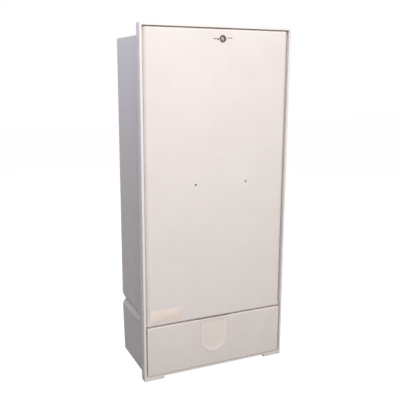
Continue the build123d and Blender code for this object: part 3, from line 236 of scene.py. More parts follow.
shell = moulded_shell("moulded_polyester")
# Painted light: the shutter is a lighter copy of the shell's colour.
shutter_shell_painted_light = moulded_shell("shutter_polyester_painted_light", dark=paint(246, 235, 229),
                              light=paint(249, 239, 232), dust=0.06)
# Painted light: the frame is a lighter copy of the shell's colour.
frame_shell_painted_light = moulded_shell("frame_polyester_painted_light", dark=paint(248, 243, 241),
                            light=paint(251, 246, 244), dust=0.40)
# Painted shade: the tub's dust colour reaches 0.85 m up, so it is darker towards the
# bottom.
tub_shell_painted_shade = moulded_shell("tub_polyester_painted_shade", dust=0.40, reach=0.85)
print("made", shell.name, "and three mouldings like it")

# %% [markdown]
# ## Marks beside the lock
# The door is the same plastic with small printed marks on each side of the lock, which
# tell which way the key turns. They lie flush, so they are drawn in the material: a bar
# or a dot is a place where the coordinates are close to its middle. Noise takes flakes
# out of the print.

# %% The door's finish
LOCK_PLACE = (0.0112, 1.0383)
DOOR_FACE = -0.133
PRINT_DARK = paint(96, 84, 78)
PRINT_OLIVE = paint(158, 150, 132)

# Where each mark lies from the lock's axis, and its half sizes.
DOT_OFFSET, DOT_RADIUS = (-15.0 * MM, -1.2 * MM), 2.8 * MM
LEFT_OFFSET, LEFT_HALF = (-24.5 * MM, 0.0), (5.0 * MM, 1.3 * MM)
RIGHT_OFFSET, RIGHT_HALF = (22.8 * MM, 2.6 * MM), (8.0 * MM, 1.5 * MM)


def from_lock(offset):
    """Place on the door's face, from its offset to the lock's axis."""
    return LOCK_PLACE[0] + offset[0], LOCK_PLACE[1] + offset[1]


def bar_mark(tree, axes, offset, half):
    """Mask of a bar on the door's face."""
    x, z = from_lock(offset)
    across = maths(tree, "COMPARE", axes["X"], x, half[0])
    upright = maths(tree, "COMPARE", axes["Z"], z, half[1])
    return maths(tree, "MULTIPLY", across, upright)


def dot_mark(tree, place, offset, radius):
    """Mask of a dot on the door's face."""
    x, z = from_lock(offset)
    ends = {0: place, 1: (x, DOOR_FACE, z)}
    away = add_node(tree, "ShaderNodeVectorMath", ends, operation="DISTANCE")
    return maths(tree, "LESS_THAN", away.outputs["Value"], radius)


def printed_door(name):
    """The shell's finish with the lock's printed marks."""
    finish, tree, shader, place = start_finish(name, 0.55, specular=SHELL_SPECULAR)
    colour = shell_colour(tree, place)
    axes = add_node(tree, "ShaderNodeSeparateXYZ", {0: place}).outputs
    front = maths(tree, "LESS_THAN", axes["Y"], DOOR_FACE + 0.3 * MM)
    worn = between(tree, grain(tree, place, 1.2 * MM, detail=3.0), 0.30, 0.42, 0.35, 1.0)
    dot = dot_mark(tree, place, DOT_OFFSET, DOT_RADIUS)
    left = bar_mark(tree, axes, LEFT_OFFSET, LEFT_HALF)
    dark = maths(tree, "MAXIMUM", dot, left)
    right = bar_mark(tree, axes, RIGHT_OFFSET, RIGHT_HALF)
    for mask, ink in ((dark, PRINT_DARK), (right, PRINT_OLIVE)):
        shown = maths(tree, "MULTIPLY", maths(tree, "MULTIPLY", mask, front), worn)
        colour = over(tree, shown, colour, ink)
    tree.links.new(colour, shader.inputs["Base Color"])
    shell_skin(tree, shader, place)
    return finish


door_finish = printed_door("printed_door")
print("made", door_finish.name)

# %% [markdown]
# ## Metals
# The metals differ in how they were made. Plated screws are smooth with a slight yellow
# cast, galvanised rails show the spangle of frozen zinc, bare copper darkens in patches,
# and the tinned clamps and silvered contacts are paler and softer. One function makes
# them all from two colours and the size and direction of their marks.

# %% Finishes of the metals
SCRATCH_WIDTH, SCRATCH_DEPTH = 0.5 * MM, 0.02 * MM
CRYSTALS_PER_METRE = 160.0
BRUSHED = (25.0, 1.0, 1.0)


def worked_metal(name, dark, light, roughness, mark=8 * MM, stretch=(1.0, 1.0, 1.0)):
    """Metal with patches of tone, fine scratches and a gloss that follows them."""
    finish, tree, shader, place = start_finish(name, roughness, metallic=1.0)
    patch = grain(tree, place, mark, detail=4.0, stretch=stretch)
    colour = ramp(tree, patch, [(0.3, dark), (0.7, light)])
    tree.links.new(colour, shader.inputs["Base Color"])
    gloss = between(tree, patch, 0.3, 0.7, roughness + 0.14, roughness - 0.05)
    tree.links.new(gloss, shader.inputs["Roughness"])
    scratch = grain(tree, place, SCRATCH_WIDTH, stretch=stretch)
    relief(tree, shader, scratch, SCRATCH_DEPTH, 0.5)
    return finish


def zinc_spangle(name):
    """Hot dipped zinc: flat crystals, each with its own tone and gloss."""
    finish, tree, shader, place = start_finish(name, 0.42, metallic=1.0)
    cells = {"Vector": place, "Scale": CRYSTALS_PER_METRE}
    crystal = add_node(tree, "ShaderNodeTexVoronoi", cells).outputs["Color"]
    tone = add_node(tree, "ShaderNodeSeparateColor", {0: crystal}).outputs[0]
    stops = [(0.0, paint(150, 154, 158)), (1.0, paint(196, 200, 204))]
    tree.links.new(ramp(tree, tone, stops), shader.inputs["Base Color"])
    tree.links.new(between(tree, tone, 0.0, 1.0, 0.50, 0.34), shader.inputs["Roughness"])
    relief(tree, shader, grain(tree, place, 2 * MM, detail=3.0), 0.03 * MM, 0.5)
    return finish


plated_steel = worked_metal("plated_steel", paint(168, 168, 164), paint(205, 205, 198),
                            0.30)
galvanised = zinc_spangle("galvanised_steel")
copper = worked_metal("bare_copper", paint(150, 88, 62), paint(212, 136, 104), 0.28,
                      mark=6 * MM, stretch=BRUSHED)
tinned = worked_metal("tinned_brass", paint(172, 168, 154), paint(208, 204, 190), 0.34)
silvered = worked_metal("silvered_contact", paint(186, 184, 178), paint(226, 224, 218),
                        0.26)
rivet_metal = worked_metal("weathered_rivet", paint(92, 84, 80), paint(150, 142, 136), 0.48,
                           mark=2 * MM)
lock_metal = worked_metal("dark_zinc", paint(92, 82, 78), paint(142, 130, 122), 0.46,
                          mark=3 * MM)
core_metal = worked_metal("worn_zinc", paint(146, 134, 126), paint(206, 192, 182), 0.44,
                          mark=2 * MM)
print("made the metals")

# %% [markdown]
# ## Plastics, resin and ceramic inside
# The fuse gear is moulded in black and dark grey, with the fine sparkle of a spark eroded
# mould. The post insulators are red brown resin with darker filler, the fuse bodies are
# glazed ceramic with pin holes, and the document pocket is thin grey plastic. They share
# one recipe: a base tone, a speckle, and a relief of the right size.


# %% Finishes of the plastics and the ceramic
def moulding(name, dark, light, roughness, speck, depth, cloud=20 * MM):
    """Moulded stuff with a cloud of tone, a speckle and a texture from its mould."""
    finish, tree, shader, place = start_finish(name, roughness)
    tone = grain(tree, place, cloud, detail=3.0)
    colour = ramp(tree, tone, [(0.3, dark), (0.7, light)])
    dots = between(tree, grain(tree, place, speck, detail=3.0), 0.58, 0.70, 0.0, 0.35)
    tree.links.new(over(tree, dots, colour, dark), shader.inputs["Base Color"])
    gloss = between(tree, tone, 0.3, 0.7, roughness + 0.06, roughness - 0.04)
    tree.links.new(gloss, shader.inputs["Roughness"])
    relief(tree, shader, grain(tree, place, speck), depth, 0.7)
    return finish


black_plastic = moulding("black_moulding", paint(22, 22, 24), paint(36, 36, 39), 0.46,
                         0.9 * MM, 0.06 * MM)
lid_plastic = moulding("grey_lid", paint(62, 64, 69), paint(78, 80, 86), 0.40,
                       0.9 * MM, 0.05 * MM)
pocket_plastic = moulding("pocket_plastic", paint(160, 163, 168), paint(182, 185, 189),
                          0.42, 1.2 * MM, 0.04 * MM)
resin = moulding("red_resin", paint(104, 32, 22), paint(140, 52, 38), 0.30,
                 1.5 * MM, 0.02 * MM, cloud=9 * MM)
ceramic = moulding("glazed_ceramic", paint(222, 216, 202), paint(240, 236, 226), 0.16,
                   0.7 * MM, 0.01 * MM)
plug_plastic = moulding("plug_plastic", paint(206, 202, 204), paint(224, 220, 221), 0.36,
                        1.0 * MM, 0.03 * MM)
label_film = moulding("label_film", paint(246, 231, 220), paint(252, 240, 230), 0.55,
                      0.8 * MM, 0.015 * MM, cloud=30 * MM)
print("made the plastics")

# %% [markdown]
# ## Dressing the CAD nodes
# Every node of the CAD model gets the finish of what it is made of. The table goes by the
# start of the node's name, so that the three strips and both rails are dressed alike.

# %% Give each node its finish
FINISH_OF = {
    "rear_tub": tub_shell_painted_shade, "front_frame": frame_shell_painted_light, "frame_web": shell,
    "lower_panel": shell, "cable_shutter": shutter_shell_painted_light, "door_panel": door_finish,
    "side_plugs": plug_plastic, "label_plate": label_film,
    "document_pocket": pocket_plastic, "pocket_rivets": rivet_metal,
    "lock_housing": lock_metal, "lock_nut": lock_metal, "lock_core": core_metal,
    "lock_cam": plated_steel, "cam_screw": plated_steel, "lock_keeper": plated_steel,
    "keeper_rivets": plated_steel, "frame_screws": plated_steel,
    "panel_screws": plated_steel, "hinge_pins": plated_steel, "rail_bolts": plated_steel,
    "busbar_bolts": plated_steel, "earth_bolts": plated_steel,
    "earth_spacers": plated_steel, "mounting_rail": galvanised, "cable_arm": galvanised,
    "cable_rail": galvanised, "busbar": copper, "neutral_bar": copper,
    "earth_bar": copper, "insulators": resin, "strip_base": black_plastic,
    "cable_saddles": black_plastic, "fuse_lid": lid_plastic, "fuse_bodies": ceramic,
    "fuse_blades": silvered, "contact_jaws": silvered, "incoming_clamps": tinned,
    "outgoing_clamps": tinned, "neutral_clamps": tinned, "earth_clamps": tinned,
}


def dress(piece, finish):
    """Give the whole piece one finish."""
    piece.data.materials.clear()
    piece.data.materials.append(finish)


for name, node in nodes.items():
    starts = [start for start in FINISH_OF if name.startswith(start)]
    dress(node, FINISH_OF[max(starts, key=len)])
print("dressed", len(nodes), "nodes")

# %% [markdown]
# ## Modelling by hand
# The CAD model gives the big forms. The small turned and pressed parts get their real
# edges here: each starts as a primitive at its size and place, is shaped in edit mode,
# and is finished with a smooth shade. A few helpers pick faces or edges by where they
# are, because that is what a hand on the mouse would do. The place of a primitive is
# applied at once, so the object stays at the origin as the CAD nodes do.

# %% Helpers for new pieces
QUARTER = math.radians(90.0)
SHARP_EDGE, SMOOTH_EDGE = math.radians(25.0), math.radians(32.0)
NEAR = 0.1 * MM
BOTH_SIDES = (-1, 1)


def start_piece(name, add, **settings):
    """Primitive at its size and place, with its place put into its mesh."""
    bpy.ops.object.select_all(action="DESELECT")
    add(**settings)
    piece = bpy.context.object
    piece.name = name
    piece.data.name = name
    bpy.ops.object.transform_apply(location=True, rotation=True, scale=True)
    return piece


def start_block(name, low, high):
    """Box between two corners."""
    middle = [(a + b) / 2 for a, b in zip(low, high)]
    size = [b - a for a, b in zip(low, high)]
    return start_piece(name, bpy.ops.mesh.primitive_cube_add, size=1.0, location=middle,
                       scale=size)


def start_disc(name, place, radius, front, back, sides=48):
    """Cylinder that looks to -Y, from its front to its back."""
    middle = (place[0], (front + back) / 2, place[1])
    return start_piece(name, bpy.ops.mesh.primitive_cylinder_add, vertices=sides,
                       radius=radius, depth=back - front, location=middle,
                       rotation=(QUARTER, 0.0, 0.0))


def pick_faces(piece, wanted):
    """Select the faces that a test of their middle and normal wants."""
    bpy.ops.object.mode_set(mode="EDIT")
    bpy.ops.mesh.select_mode(type="FACE")
    bpy.ops.mesh.select_all(action="DESELECT")
    mesh = bmesh.from_edit_mesh(piece.data)
    for face in mesh.faces:
        if wanted(face.calc_center_median(), face.normal):
            face.select_set(True)
    bmesh.update_edit_mesh(piece.data)


def pick_edges(piece, wanted):
    """Select the sharp edges that a test of their middle and direction wants."""
    bpy.ops.object.mode_set(mode="EDIT")
    bpy.ops.mesh.select_mode(type="EDGE")
    bpy.ops.mesh.select_all(action="DESELECT")
    mesh = bmesh.from_edit_mesh(piece.data)
    for edge in mesh.edges:
        first, second = [corner.co for corner in edge.verts]
        sharp = edge.calc_face_angle(0.0) > SHARP_EDGE
        if sharp and wanted((first + second) / 2, (second - first).normalized()):
            edge.select_set(True)
    bmesh.update_edit_mesh(piece.data)


def to_back(middle, normal):
    """Whether a face looks back, to +Y."""
    return normal.y > 0.9


def to_front(middle, normal):
    """Whether a face looks out, to -Y."""
    return normal.y < -0.9


def runs_back(middle, along):
    """Whether an edge runs along Y."""
    return abs(along.y) > 0.9


def at_front(plane):
    """Test for what lies at a piece's front, a plane across Y."""
    return lambda middle, way: middle.y < plane + NEAR


def flat_front(plane):
    """Test for the flat face that a round rim leaves in a piece's front."""
    return lambda middle, normal: normal.y < -0.99 and middle.y < plane + 0.1 * NEAR


def round_over(radius, steps=3):
    """Bevel the selected edges."""
    bpy.ops.mesh.bevel(offset=radius, segments=steps, affect="EDGES")


def push(distance):
    """Extrude the selected faces along Y."""
    bpy.ops.mesh.extrude_region_move(TRANSFORM_OT_translate={"value": (0.0, distance, 0.0)})


def join_pieces(kept, *others):
    """Make one object of several."""
    bpy.ops.object.mode_set(mode="OBJECT")
    bpy.ops.object.select_all(action="DESELECT")
    for piece in (*others, kept):
        piece.select_set(True)
    bpy.context.view_layer.objects.active = kept
    bpy.ops.object.join()
    return kept


def smooth(piece):
    """Leave edit mode and shade smooth, apart from the sharp edges."""
    if bpy.context.object.mode == "EDIT":
        bpy.ops.object.mode_set(mode="OBJECT")
    bpy.ops.object.select_all(action="DESELECT")
    piece.select_set(True)
    bpy.context.view_layer.objects.active = piece
    bpy.ops.object.shade_smooth_by_angle(angle=SMOOTH_EDGE)


def hand_over(piece, finish, body, slot, *replaced):
    """Dress a finished piece, say what it rides on and which nodes it stands for."""
    smooth(piece)
    dress(piece, finish)
    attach(piece, body)
    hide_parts(*replaced)


def place_copies(pattern, name, moves):
    """Copies of a pattern, moved in meshes of their own. The pattern is deleted."""
    copies = []
    for number, move in enumerate(moves, start=1):
        twin = pattern.copy()
        twin.data = pattern.data.copy()
        twin.name = twin.data.name = f"{name}_{number}"
        bpy.context.scene.collection.objects.link(twin)
        bpy.ops.object.select_all(action="DESELECT")
        twin.select_set(True)
        bpy.context.view_layer.objects.active = twin
        twin.location = move
        bpy.ops.object.transform_apply(location=True, rotation=False, scale=False)
        copies.append(twin)
    bpy.data.objects.remove(pattern)
    return copies


print("modelling helpers ready")

# %% [markdown]
# ## The lock's housing
# A die cast housing is a turned shape: a flange against the door, a barrel through it, a
# well in front where the key goes, and a bore for the core. It starts as the flange, a
# flat disc. Its back face is inset and pushed back for the barrel, its front face is
# inset and pushed in for the well, and a bridge between the two inner faces opens the
# bore. The rims are rounded last.

# %% Model the lock's housing
FLANGE_RADIUS, FLANGE = 11.0 * MM, 1.6 * MM
BARREL_RADIUS, BARREL = 9.0 * MM, 11.4 * MM
WELL_RADIUS, WELL = 8.0 * MM, 4.0 * MM
BORE_RADIUS = 5.05 * MM
RING_RIM, RING_SIDES = 0.5 * MM, 64


def near_lock_axis(middle):
    """Whether a point lies on the lock's axis."""
    return math.hypot(middle.x - LOCK_PLACE[0], middle.z - LOCK_PLACE[1]) < NEAR


lock_ring = start_disc("lock_ring", LOCK_PLACE, FLANGE_RADIUS, DOOR_FACE,
                       DOOR_FACE + FLANGE, RING_SIDES)
pick_faces(lock_ring, to_back)
bpy.ops.mesh.inset(thickness=FLANGE_RADIUS - BARREL_RADIUS)
push(BARREL)
bpy.ops.mesh.inset(thickness=BARREL_RADIUS - BORE_RADIUS)
pick_faces(lock_ring, to_front)
bpy.ops.mesh.inset(thickness=FLANGE_RADIUS - WELL_RADIUS)
push(WELL)
bpy.ops.mesh.inset(thickness=WELL_RADIUS - BORE_RADIUS)
pick_faces(lock_ring, lambda middle, normal: abs(normal.y) > 0.9 and near_lock_axis(middle))
bpy.ops.mesh.bridge_edge_loops()
pick_edges(lock_ring, lambda middle, along: middle.y < DOOR_FACE + 0.5 * FLANGE)
round_over(RING_RIM)
hand_over(lock_ring, lock_metal, "door", "lock_zinc", "lock_housing")
print("lock ring", len(lock_ring.data.polygons), "faces")

# %% [markdown]
# ## The lock's core
# The key grips a triangular stem with rounded corners. A cylinder of three sides gives
# the stem, point down, and a bevel rounds its long edges and its nose. Behind it the
# round shaft turns in the housing and ends in the square that carries the cam, so those
# are two more starts, joined to the first.

# %% Model the lock's core
STEM_RADIUS, STEM_FRONT, STEM_BACK = 6.4 * MM, -132.5 * MM, -129.5 * MM
SHAFT_RADIUS, SHAFT_BACK = 5.0 * MM, -119.5 * MM
SQUARE, SQUARE_BACK = 7.0 * MM, -116.5 * MM
STEM_CORNER, STEM_NOSE, SQUARE_CORNER = 0.9 * MM, 0.4 * MM, 0.5 * MM

lock_stem = start_piece(
    "lock_stem", bpy.ops.mesh.primitive_cylinder_add, vertices=3, radius=STEM_RADIUS,
    depth=STEM_BACK - STEM_FRONT, rotation=(-QUARTER, 0.0, 0.0),
    location=(LOCK_PLACE[0], (STEM_FRONT + STEM_BACK) / 2, LOCK_PLACE[1]))
pick_edges(lock_stem, runs_back)
round_over(STEM_CORNER, 4)
pick_edges(lock_stem, at_front(STEM_FRONT))
round_over(STEM_NOSE, 2)
smooth(lock_stem)
shaft = start_disc("lock_shaft", LOCK_PLACE, SHAFT_RADIUS, STEM_BACK, SHAFT_BACK)
smooth(shaft)
half = SQUARE / 2
square = start_block(
    "lock_square", (LOCK_PLACE[0] - half, SHAFT_BACK, LOCK_PLACE[1] - half),
    (LOCK_PLACE[0] + half, SQUARE_BACK, LOCK_PLACE[1] + half))
pick_edges(square, runs_back)
round_over(SQUARE_CORNER, 2)
smooth(square)
join_pieces(lock_stem, shaft, square)
hand_over(lock_stem, core_metal, "lock", "lock_core", "lock_core")
print("lock core", len(lock_stem.data.polygons), "faces")

# %% [markdown]
# ## The door's rivets
# Two rivets hold the document pocket. Seen from the road each is a small dull dome with
# the pit that its broken mandrel left. The head lies in a counterbore, so the dome only
# comes up to the door's face. One is modelled, with its tail inside, and the other is a
# copy.

# %% Model the rivets
RIVET_HEIGHT = 610.8 * MM
RIVET_X = (-73.95 * MM, 96.35 * MM)
RIVET_HEAD_RADIUS, RIVET_HEAD = 3.2 * MM, 1.0 * MM
RIVET_SHANK_RADIUS, RIVET_GRIP = 2.0 * MM, 5.0 * MM
DOME, TAIL_RIM, PIT_RIM, PIT_DEPTH = 0.9 * MM, 0.6 * MM, 1.1 * MM, 0.7 * MM

rivet = start_disc("rivet", (0.0, RIVET_HEIGHT), RIVET_HEAD_RADIUS, DOOR_FACE,
                   DOOR_FACE + RIVET_HEAD, 32)
pick_faces(rivet, to_back)
bpy.ops.mesh.inset(thickness=RIVET_HEAD_RADIUS - RIVET_SHANK_RADIUS)
push(RIVET_GRIP)
pick_edges(rivet, at_front(DOOR_FACE))
round_over(DOME, 5)
pick_faces(rivet, flat_front(DOOR_FACE))
bpy.ops.mesh.inset(thickness=PIT_RIM)
push(PIT_DEPTH)
smooth(rivet)
tail_front = DOOR_FACE + RIVET_HEAD + RIVET_GRIP
tail = start_disc("rivet_tail", (0.0, RIVET_HEIGHT), RIVET_HEAD_RADIUS, tail_front,
                  tail_front + RIVET_HEAD, 32)
pick_edges(tail, lambda middle, along: middle.y > tail_front + RIVET_HEAD - NEAR)
round_over(TAIL_RIM)
smooth(tail)
join_pieces(rivet, tail)
for twin in place_copies(rivet, "door_rivet", [(x, 0.0, 0.0) for x in RIVET_X]):
    hand_over(twin, rivet_metal, "door", "rivet", "pocket_rivets")
print("rivets at", RIVET_X)

# %% [markdown]
# ## The plugs in the sides
# A round plug closes a hole high on each side. It is pressed in from outside: a thin head
# with a soft rim and a shallow dish, and a stem through the wall. The head faces
# sideways, so it is modelled looking to -Y, as the rest is, and then turned about the
# upright axis.

# %% Model the plugs
PLUG_HEAD_RADIUS, PLUG_HEAD = 6.0 * MM, 1.6 * MM
PLUG_STEM_RADIUS, PLUG_STEM = 4.0 * MM, 4.0 * MM
PLUG_RIM, DISH_RIM, DISH_SLOPE, DISH_DEPTH = 1.2 * MM, 1.5 * MM, 0.5 * MM, 0.3 * MM
SEAT_X, SEAT_Y, SEAT_Z = 231.0 * MM, -78.0 * MM, 977.0 * MM

for side, name in zip(BOTH_SIDES, ("plug_left", "plug_right")):
    plug = start_disc(name, (0.0, 0.0), PLUG_HEAD_RADIUS, -PLUG_HEAD, 0.0)
    pick_faces(plug, to_back)
    bpy.ops.mesh.inset(thickness=PLUG_HEAD_RADIUS - PLUG_STEM_RADIUS)
    push(PLUG_STEM)
    pick_edges(plug, at_front(-PLUG_HEAD))
    round_over(PLUG_RIM, 5)
    pick_faces(plug, flat_front(-PLUG_HEAD))
    bpy.ops.mesh.inset(thickness=DISH_RIM)
    bpy.ops.mesh.inset(thickness=DISH_SLOPE, depth=-DISH_DEPTH)
    smooth(plug)
    plug.rotation_euler = (0.0, 0.0, side * QUARTER)
    plug.location = (side * SEAT_X, SEAT_Y, SEAT_Z)
    bpy.ops.object.transform_apply(location=True, rotation=True, scale=True)
    hand_over(plug, plug_plastic, "cabinet", "plug", "side_plugs")
print("plugs on both sides")

# %% [markdown]
# ## The plate on the door
# The small plate in the lower left corner is a thin stamped card, let into the door by
# its own thickness. It is bare. A box gets round corners first and then a soft rim, and
# that order keeps the rim even round the corners.

# %% Model the plate
PLATE_LOW = (-223.0 * MM, DOOR_FACE, 188.0 * MM)
PLATE_HIGH = (-117.0 * MM, DOOR_FACE + 1.0 * MM, 230.0 * MM)
PLATE_CORNER, PLATE_RIM = 1.5 * MM, 0.25 * MM

plate = start_block("bare_plate", PLATE_LOW, PLATE_HIGH)
pick_edges(plate, runs_back)
round_over(PLATE_CORNER, 4)
pick_edges(plate, at_front(DOOR_FACE))
round_over(PLATE_RIM, 2)
hand_over(plate, label_film, "door", "label", "label_plate")
print("plate", len(plate.data.polygons), "faces")

# %% [markdown]
# ## Cross recessed screws
# Ten screws join the frame to the tub and two hold the lower panel. All are the same pan
# head screw. The head is a disc with a wide round rim, and the recess is cut by a cross
# with a Boolean modifier, because two crossing slots meet in the middle and a Boolean
# keeps that corner clean.

# %% Model the pan head screws
PAN_RADIUS, PAN_HEIGHT, PAN_RIM = 4.2 * MM, 2.4 * MM, 1.3 * MM
SCREW_RADIUS, SCREW_LENGTH = 2.5 * MM, 14.0 * MM
POINT, POINT_SLOPE = 2.0 * MM, 0.6 * MM
RECESS_LENGTH, RECESS_WIDTH, RECESS_DEPTH = 4.6 * MM, 1.1 * MM, 1.5 * MM
CUT_START = -5.0 * MM


def pan_screw(name):
    """Pan head screw whose head sits in front of the origin and looks to -Y."""
    screw = start_disc(name, (0.0, 0.0), PAN_RADIUS, -PAN_HEIGHT, 0.0, 40)
    pick_edges(screw, at_front(-PAN_HEIGHT))
    round_over(PAN_RIM, 5)
    pick_faces(screw, to_back)
    bpy.ops.mesh.inset(thickness=PAN_RADIUS - SCREW_RADIUS)
    push(SCREW_LENGTH - POINT)
    bpy.ops.mesh.inset(thickness=POINT_SLOPE, depth=POINT)
    smooth(screw)
    long, short = RECESS_LENGTH / 2, RECESS_WIDTH / 2
    cut_end = -PAN_HEIGHT + RECESS_DEPTH
    for across, upright in ((short, long), (long, short)):
        cutter = start_block("recess_cutter", (-across, CUT_START, -upright),
                             (across, cut_end, upright))
        bpy.ops.object.select_all(action="DESELECT")
        bpy.context.view_layer.objects.active = screw
        cut = screw.modifiers.new("recess", "BOOLEAN")
        cut.operation = "DIFFERENCE"
        cut.solver = "EXACT"
        cut.object = cutter
        bpy.ops.object.modifier_apply(modifier=cut.name)
        bpy.data.objects.remove(cutter)
    smooth(screw)
    return screw


FRAME_SCREW_X, FRAME_SCREW_LOW, FRAME_SCREW_STEP = 219.4 * MM, 252.0 * MM, 180.0 * MM
FRAME_SCREW_ROWS = 5
WEB_FACE = -111.0 * MM
frame_places = [(side * FRAME_SCREW_X, WEB_FACE, FRAME_SCREW_LOW + row * FRAME_SCREW_STEP)
                for side in BOTH_SIDES for row in range(FRAME_SCREW_ROWS)]
for screw in place_copies(pan_screw("pan_screw"), "frame_screw", frame_places):
    hand_over(screw, plated_steel, "cabinet", "steel", "frame_screws")
print(len(frame_places), "frame screws")

# %% [markdown]
# ## The lower panel's screws
# The same screw holds the lower panel at each end, with its head up. The pattern is
# turned about X before it is copied.

# %% Turn two screws up for the lower panel
PANEL_SCREW_X, PANEL_SCREW_Y, PANEL_TOP = 190.0 * MM, -116.5 * MM, 173.5 * MM
upright_screw = pan_screw("upright_screw")
upright_screw.rotation_euler = (-QUARTER, 0.0, 0.0)
bpy.ops.object.transform_apply(location=False, rotation=True, scale=False)
panel_places = [(side * PANEL_SCREW_X, PANEL_SCREW_Y, PANEL_TOP) for side in BOTH_SIDES]
for screw in place_copies(upright_screw, "panel_screw", panel_places):
    hand_over(screw, plated_steel, "cabinet", "steel", "panel_screws")
print(len(panel_places), "panel screws")

# %% [markdown]
# ## Hexagon bolts
# The bolts that hold the rails and the bars have a chamfered hexagon head with a shallow
# dish. A cylinder of six sides is the head: its front is inset and raised for the
# chamfer, and inset again and lowered for the dish. The shank is a round start, joined on
# behind.

# %% Model the hexagon bolts
HEX_ACROSS_FLATS = 10.0 * MM
HEX_RADIUS = HEX_ACROSS_FLATS / math.sqrt(3.0)
CHAMFER_RISE, CHAMFER_WIDTH, CROWN_WIDTH = 0.5 * MM, 0.8 * MM, 0.5 * MM
DISH_EDGE, DISH_DROP, HEX_CORNER, SHANK_END = 0.3 * MM, 0.15 * MM, 0.25 * MM, 0.5 * MM
BOLT_SHANK_RADIUS = 3.0 * MM


def hex_bolt(name, head, shank):
    """Hexagon bolt whose head sits in front of the origin and looks to -Y."""
    bolt = start_disc(name, (0.0, 0.0), HEX_RADIUS, -head + CHAMFER_RISE, 0.0, 6)
    pick_faces(bolt, to_front)
    bpy.ops.mesh.inset(thickness=CHAMFER_WIDTH, depth=CHAMFER_RISE)
    bpy.ops.mesh.inset(thickness=CROWN_WIDTH)
    bpy.ops.mesh.inset(thickness=DISH_EDGE, depth=-DISH_DROP)
    pick_edges(bolt, runs_back)
    round_over(HEX_CORNER, 2)
    smooth(bolt)
    stem = start_disc("bolt_shank", (0.0, 0.0), BOLT_SHANK_RADIUS, 0.0, shank, 32)
    pick_edges(stem, lambda middle, along: middle.y > shank - NEAR)
    round_over(SHANK_END, 1)
    smooth(stem)
    return join_pieces(bolt, stem)


RAIL_X = 170.0 * MM
HEX_HEAD = 4.0 * MM
# Each kind's CAD node, the seat of its heads, its shank and its heights, in millimetres.
BOLT_KINDS = (
    ("rail_bolts", 119.0, 10.0, (260.0, 975.0)),
    ("busbar_bolts", 71.0, 20.0, (505.0, 720.0, 820.0, 920.0)),
    ("earth_bolts", 90.0, 23.5, (400.0,)),
)
for node, seat, shank, heights in BOLT_KINDS:
    places = [(side * RAIL_X, seat * MM, height * MM)
              for side in BOTH_SIDES for height in heights]
    pattern = hex_bolt(node + "_pattern", HEX_HEAD, shank * MM)
    for bolt in place_copies(pattern, node[:-1], places):
        hand_over(bolt, plated_steel, "cabinet", "steel", node)
    print(node, len(places))

# %% [markdown]
# ## Fuse links
# A fuse link is a glazed ceramic body between two metal end plates, with a blade on each
# plate. The body is a box with well rounded upright edges. The plates are thin and a
# little larger in outline. One link is modelled, and the blades stay as the CAD model has
# them.

# %% Model the fuse links
FUSE_HALF_WIDTH, FUSE_HALF_HEIGHT = 13.0 * MM, 23.0 * MM
FUSE_FRONT, FUSE_BACK = 34.0 * MM, 61.0 * MM
BODY_IN, BODY_CORNER, BODY_RIM = 0.6 * MM, 3.5 * MM, 0.5 * MM
END_PLATE, PLATE_ROUND, PLATE_SOFT = 2.0 * MM, 4.0 * MM, 0.3 * MM
STUD_RADIUS, STUD_HEIGHT, STUD_ROUND = 1.5 * MM, 0.4 * MM, 0.2 * MM
STUD_X, STUD_MARGIN = 9.0 * MM, 4.0 * MM
POLE_HEIGHTS = (920.0 * MM, 820.0 * MM, 720.0 * MM)
STRIP_X = (-10.0 * MM, 50.0 * MM, 110.0 * MM)


def rounded_block(name, low, high, corner, rim):
    """Box with round upright corners and a soft rim at both ends."""
    block = start_block(name, low, high)
    pick_edges(block, lambda middle, along: abs(along.z) > 0.9)
    round_over(corner, 5)
    pick_edges(block, lambda middle, along: abs(along.z) < 0.1)
    round_over(rim, 2)
    smooth(block)
    return block


body_pattern = rounded_block(
    "fuse_body_pattern",
    (BODY_IN - FUSE_HALF_WIDTH, FUSE_FRONT + BODY_IN, END_PLATE - FUSE_HALF_HEIGHT),
    (FUSE_HALF_WIDTH - BODY_IN, FUSE_BACK - BODY_IN, FUSE_HALF_HEIGHT - END_PLATE),
    BODY_CORNER, BODY_RIM)
plate_low = rounded_block(
    "end_plate_low", (-FUSE_HALF_WIDTH, FUSE_FRONT, -FUSE_HALF_HEIGHT + STUD_HEIGHT),
    (FUSE_HALF_WIDTH, FUSE_BACK, END_PLATE - FUSE_HALF_HEIGHT), PLATE_ROUND, PLATE_SOFT)
plate_high = rounded_block(
    "end_plate_high", (-FUSE_HALF_WIDTH, FUSE_FRONT, FUSE_HALF_HEIGHT - END_PLATE),
    (FUSE_HALF_WIDTH, FUSE_BACK, FUSE_HALF_HEIGHT - STUD_HEIGHT), PLATE_ROUND, PLATE_SOFT)
print("one body and two end plates")

# %% [markdown]
# ## Rivets on the end plates
# Each end plate shows four small rivets. Only the rim that looks away from the plate is
# rounded. They are joined to the two plates, because plates and rivets are one metal.

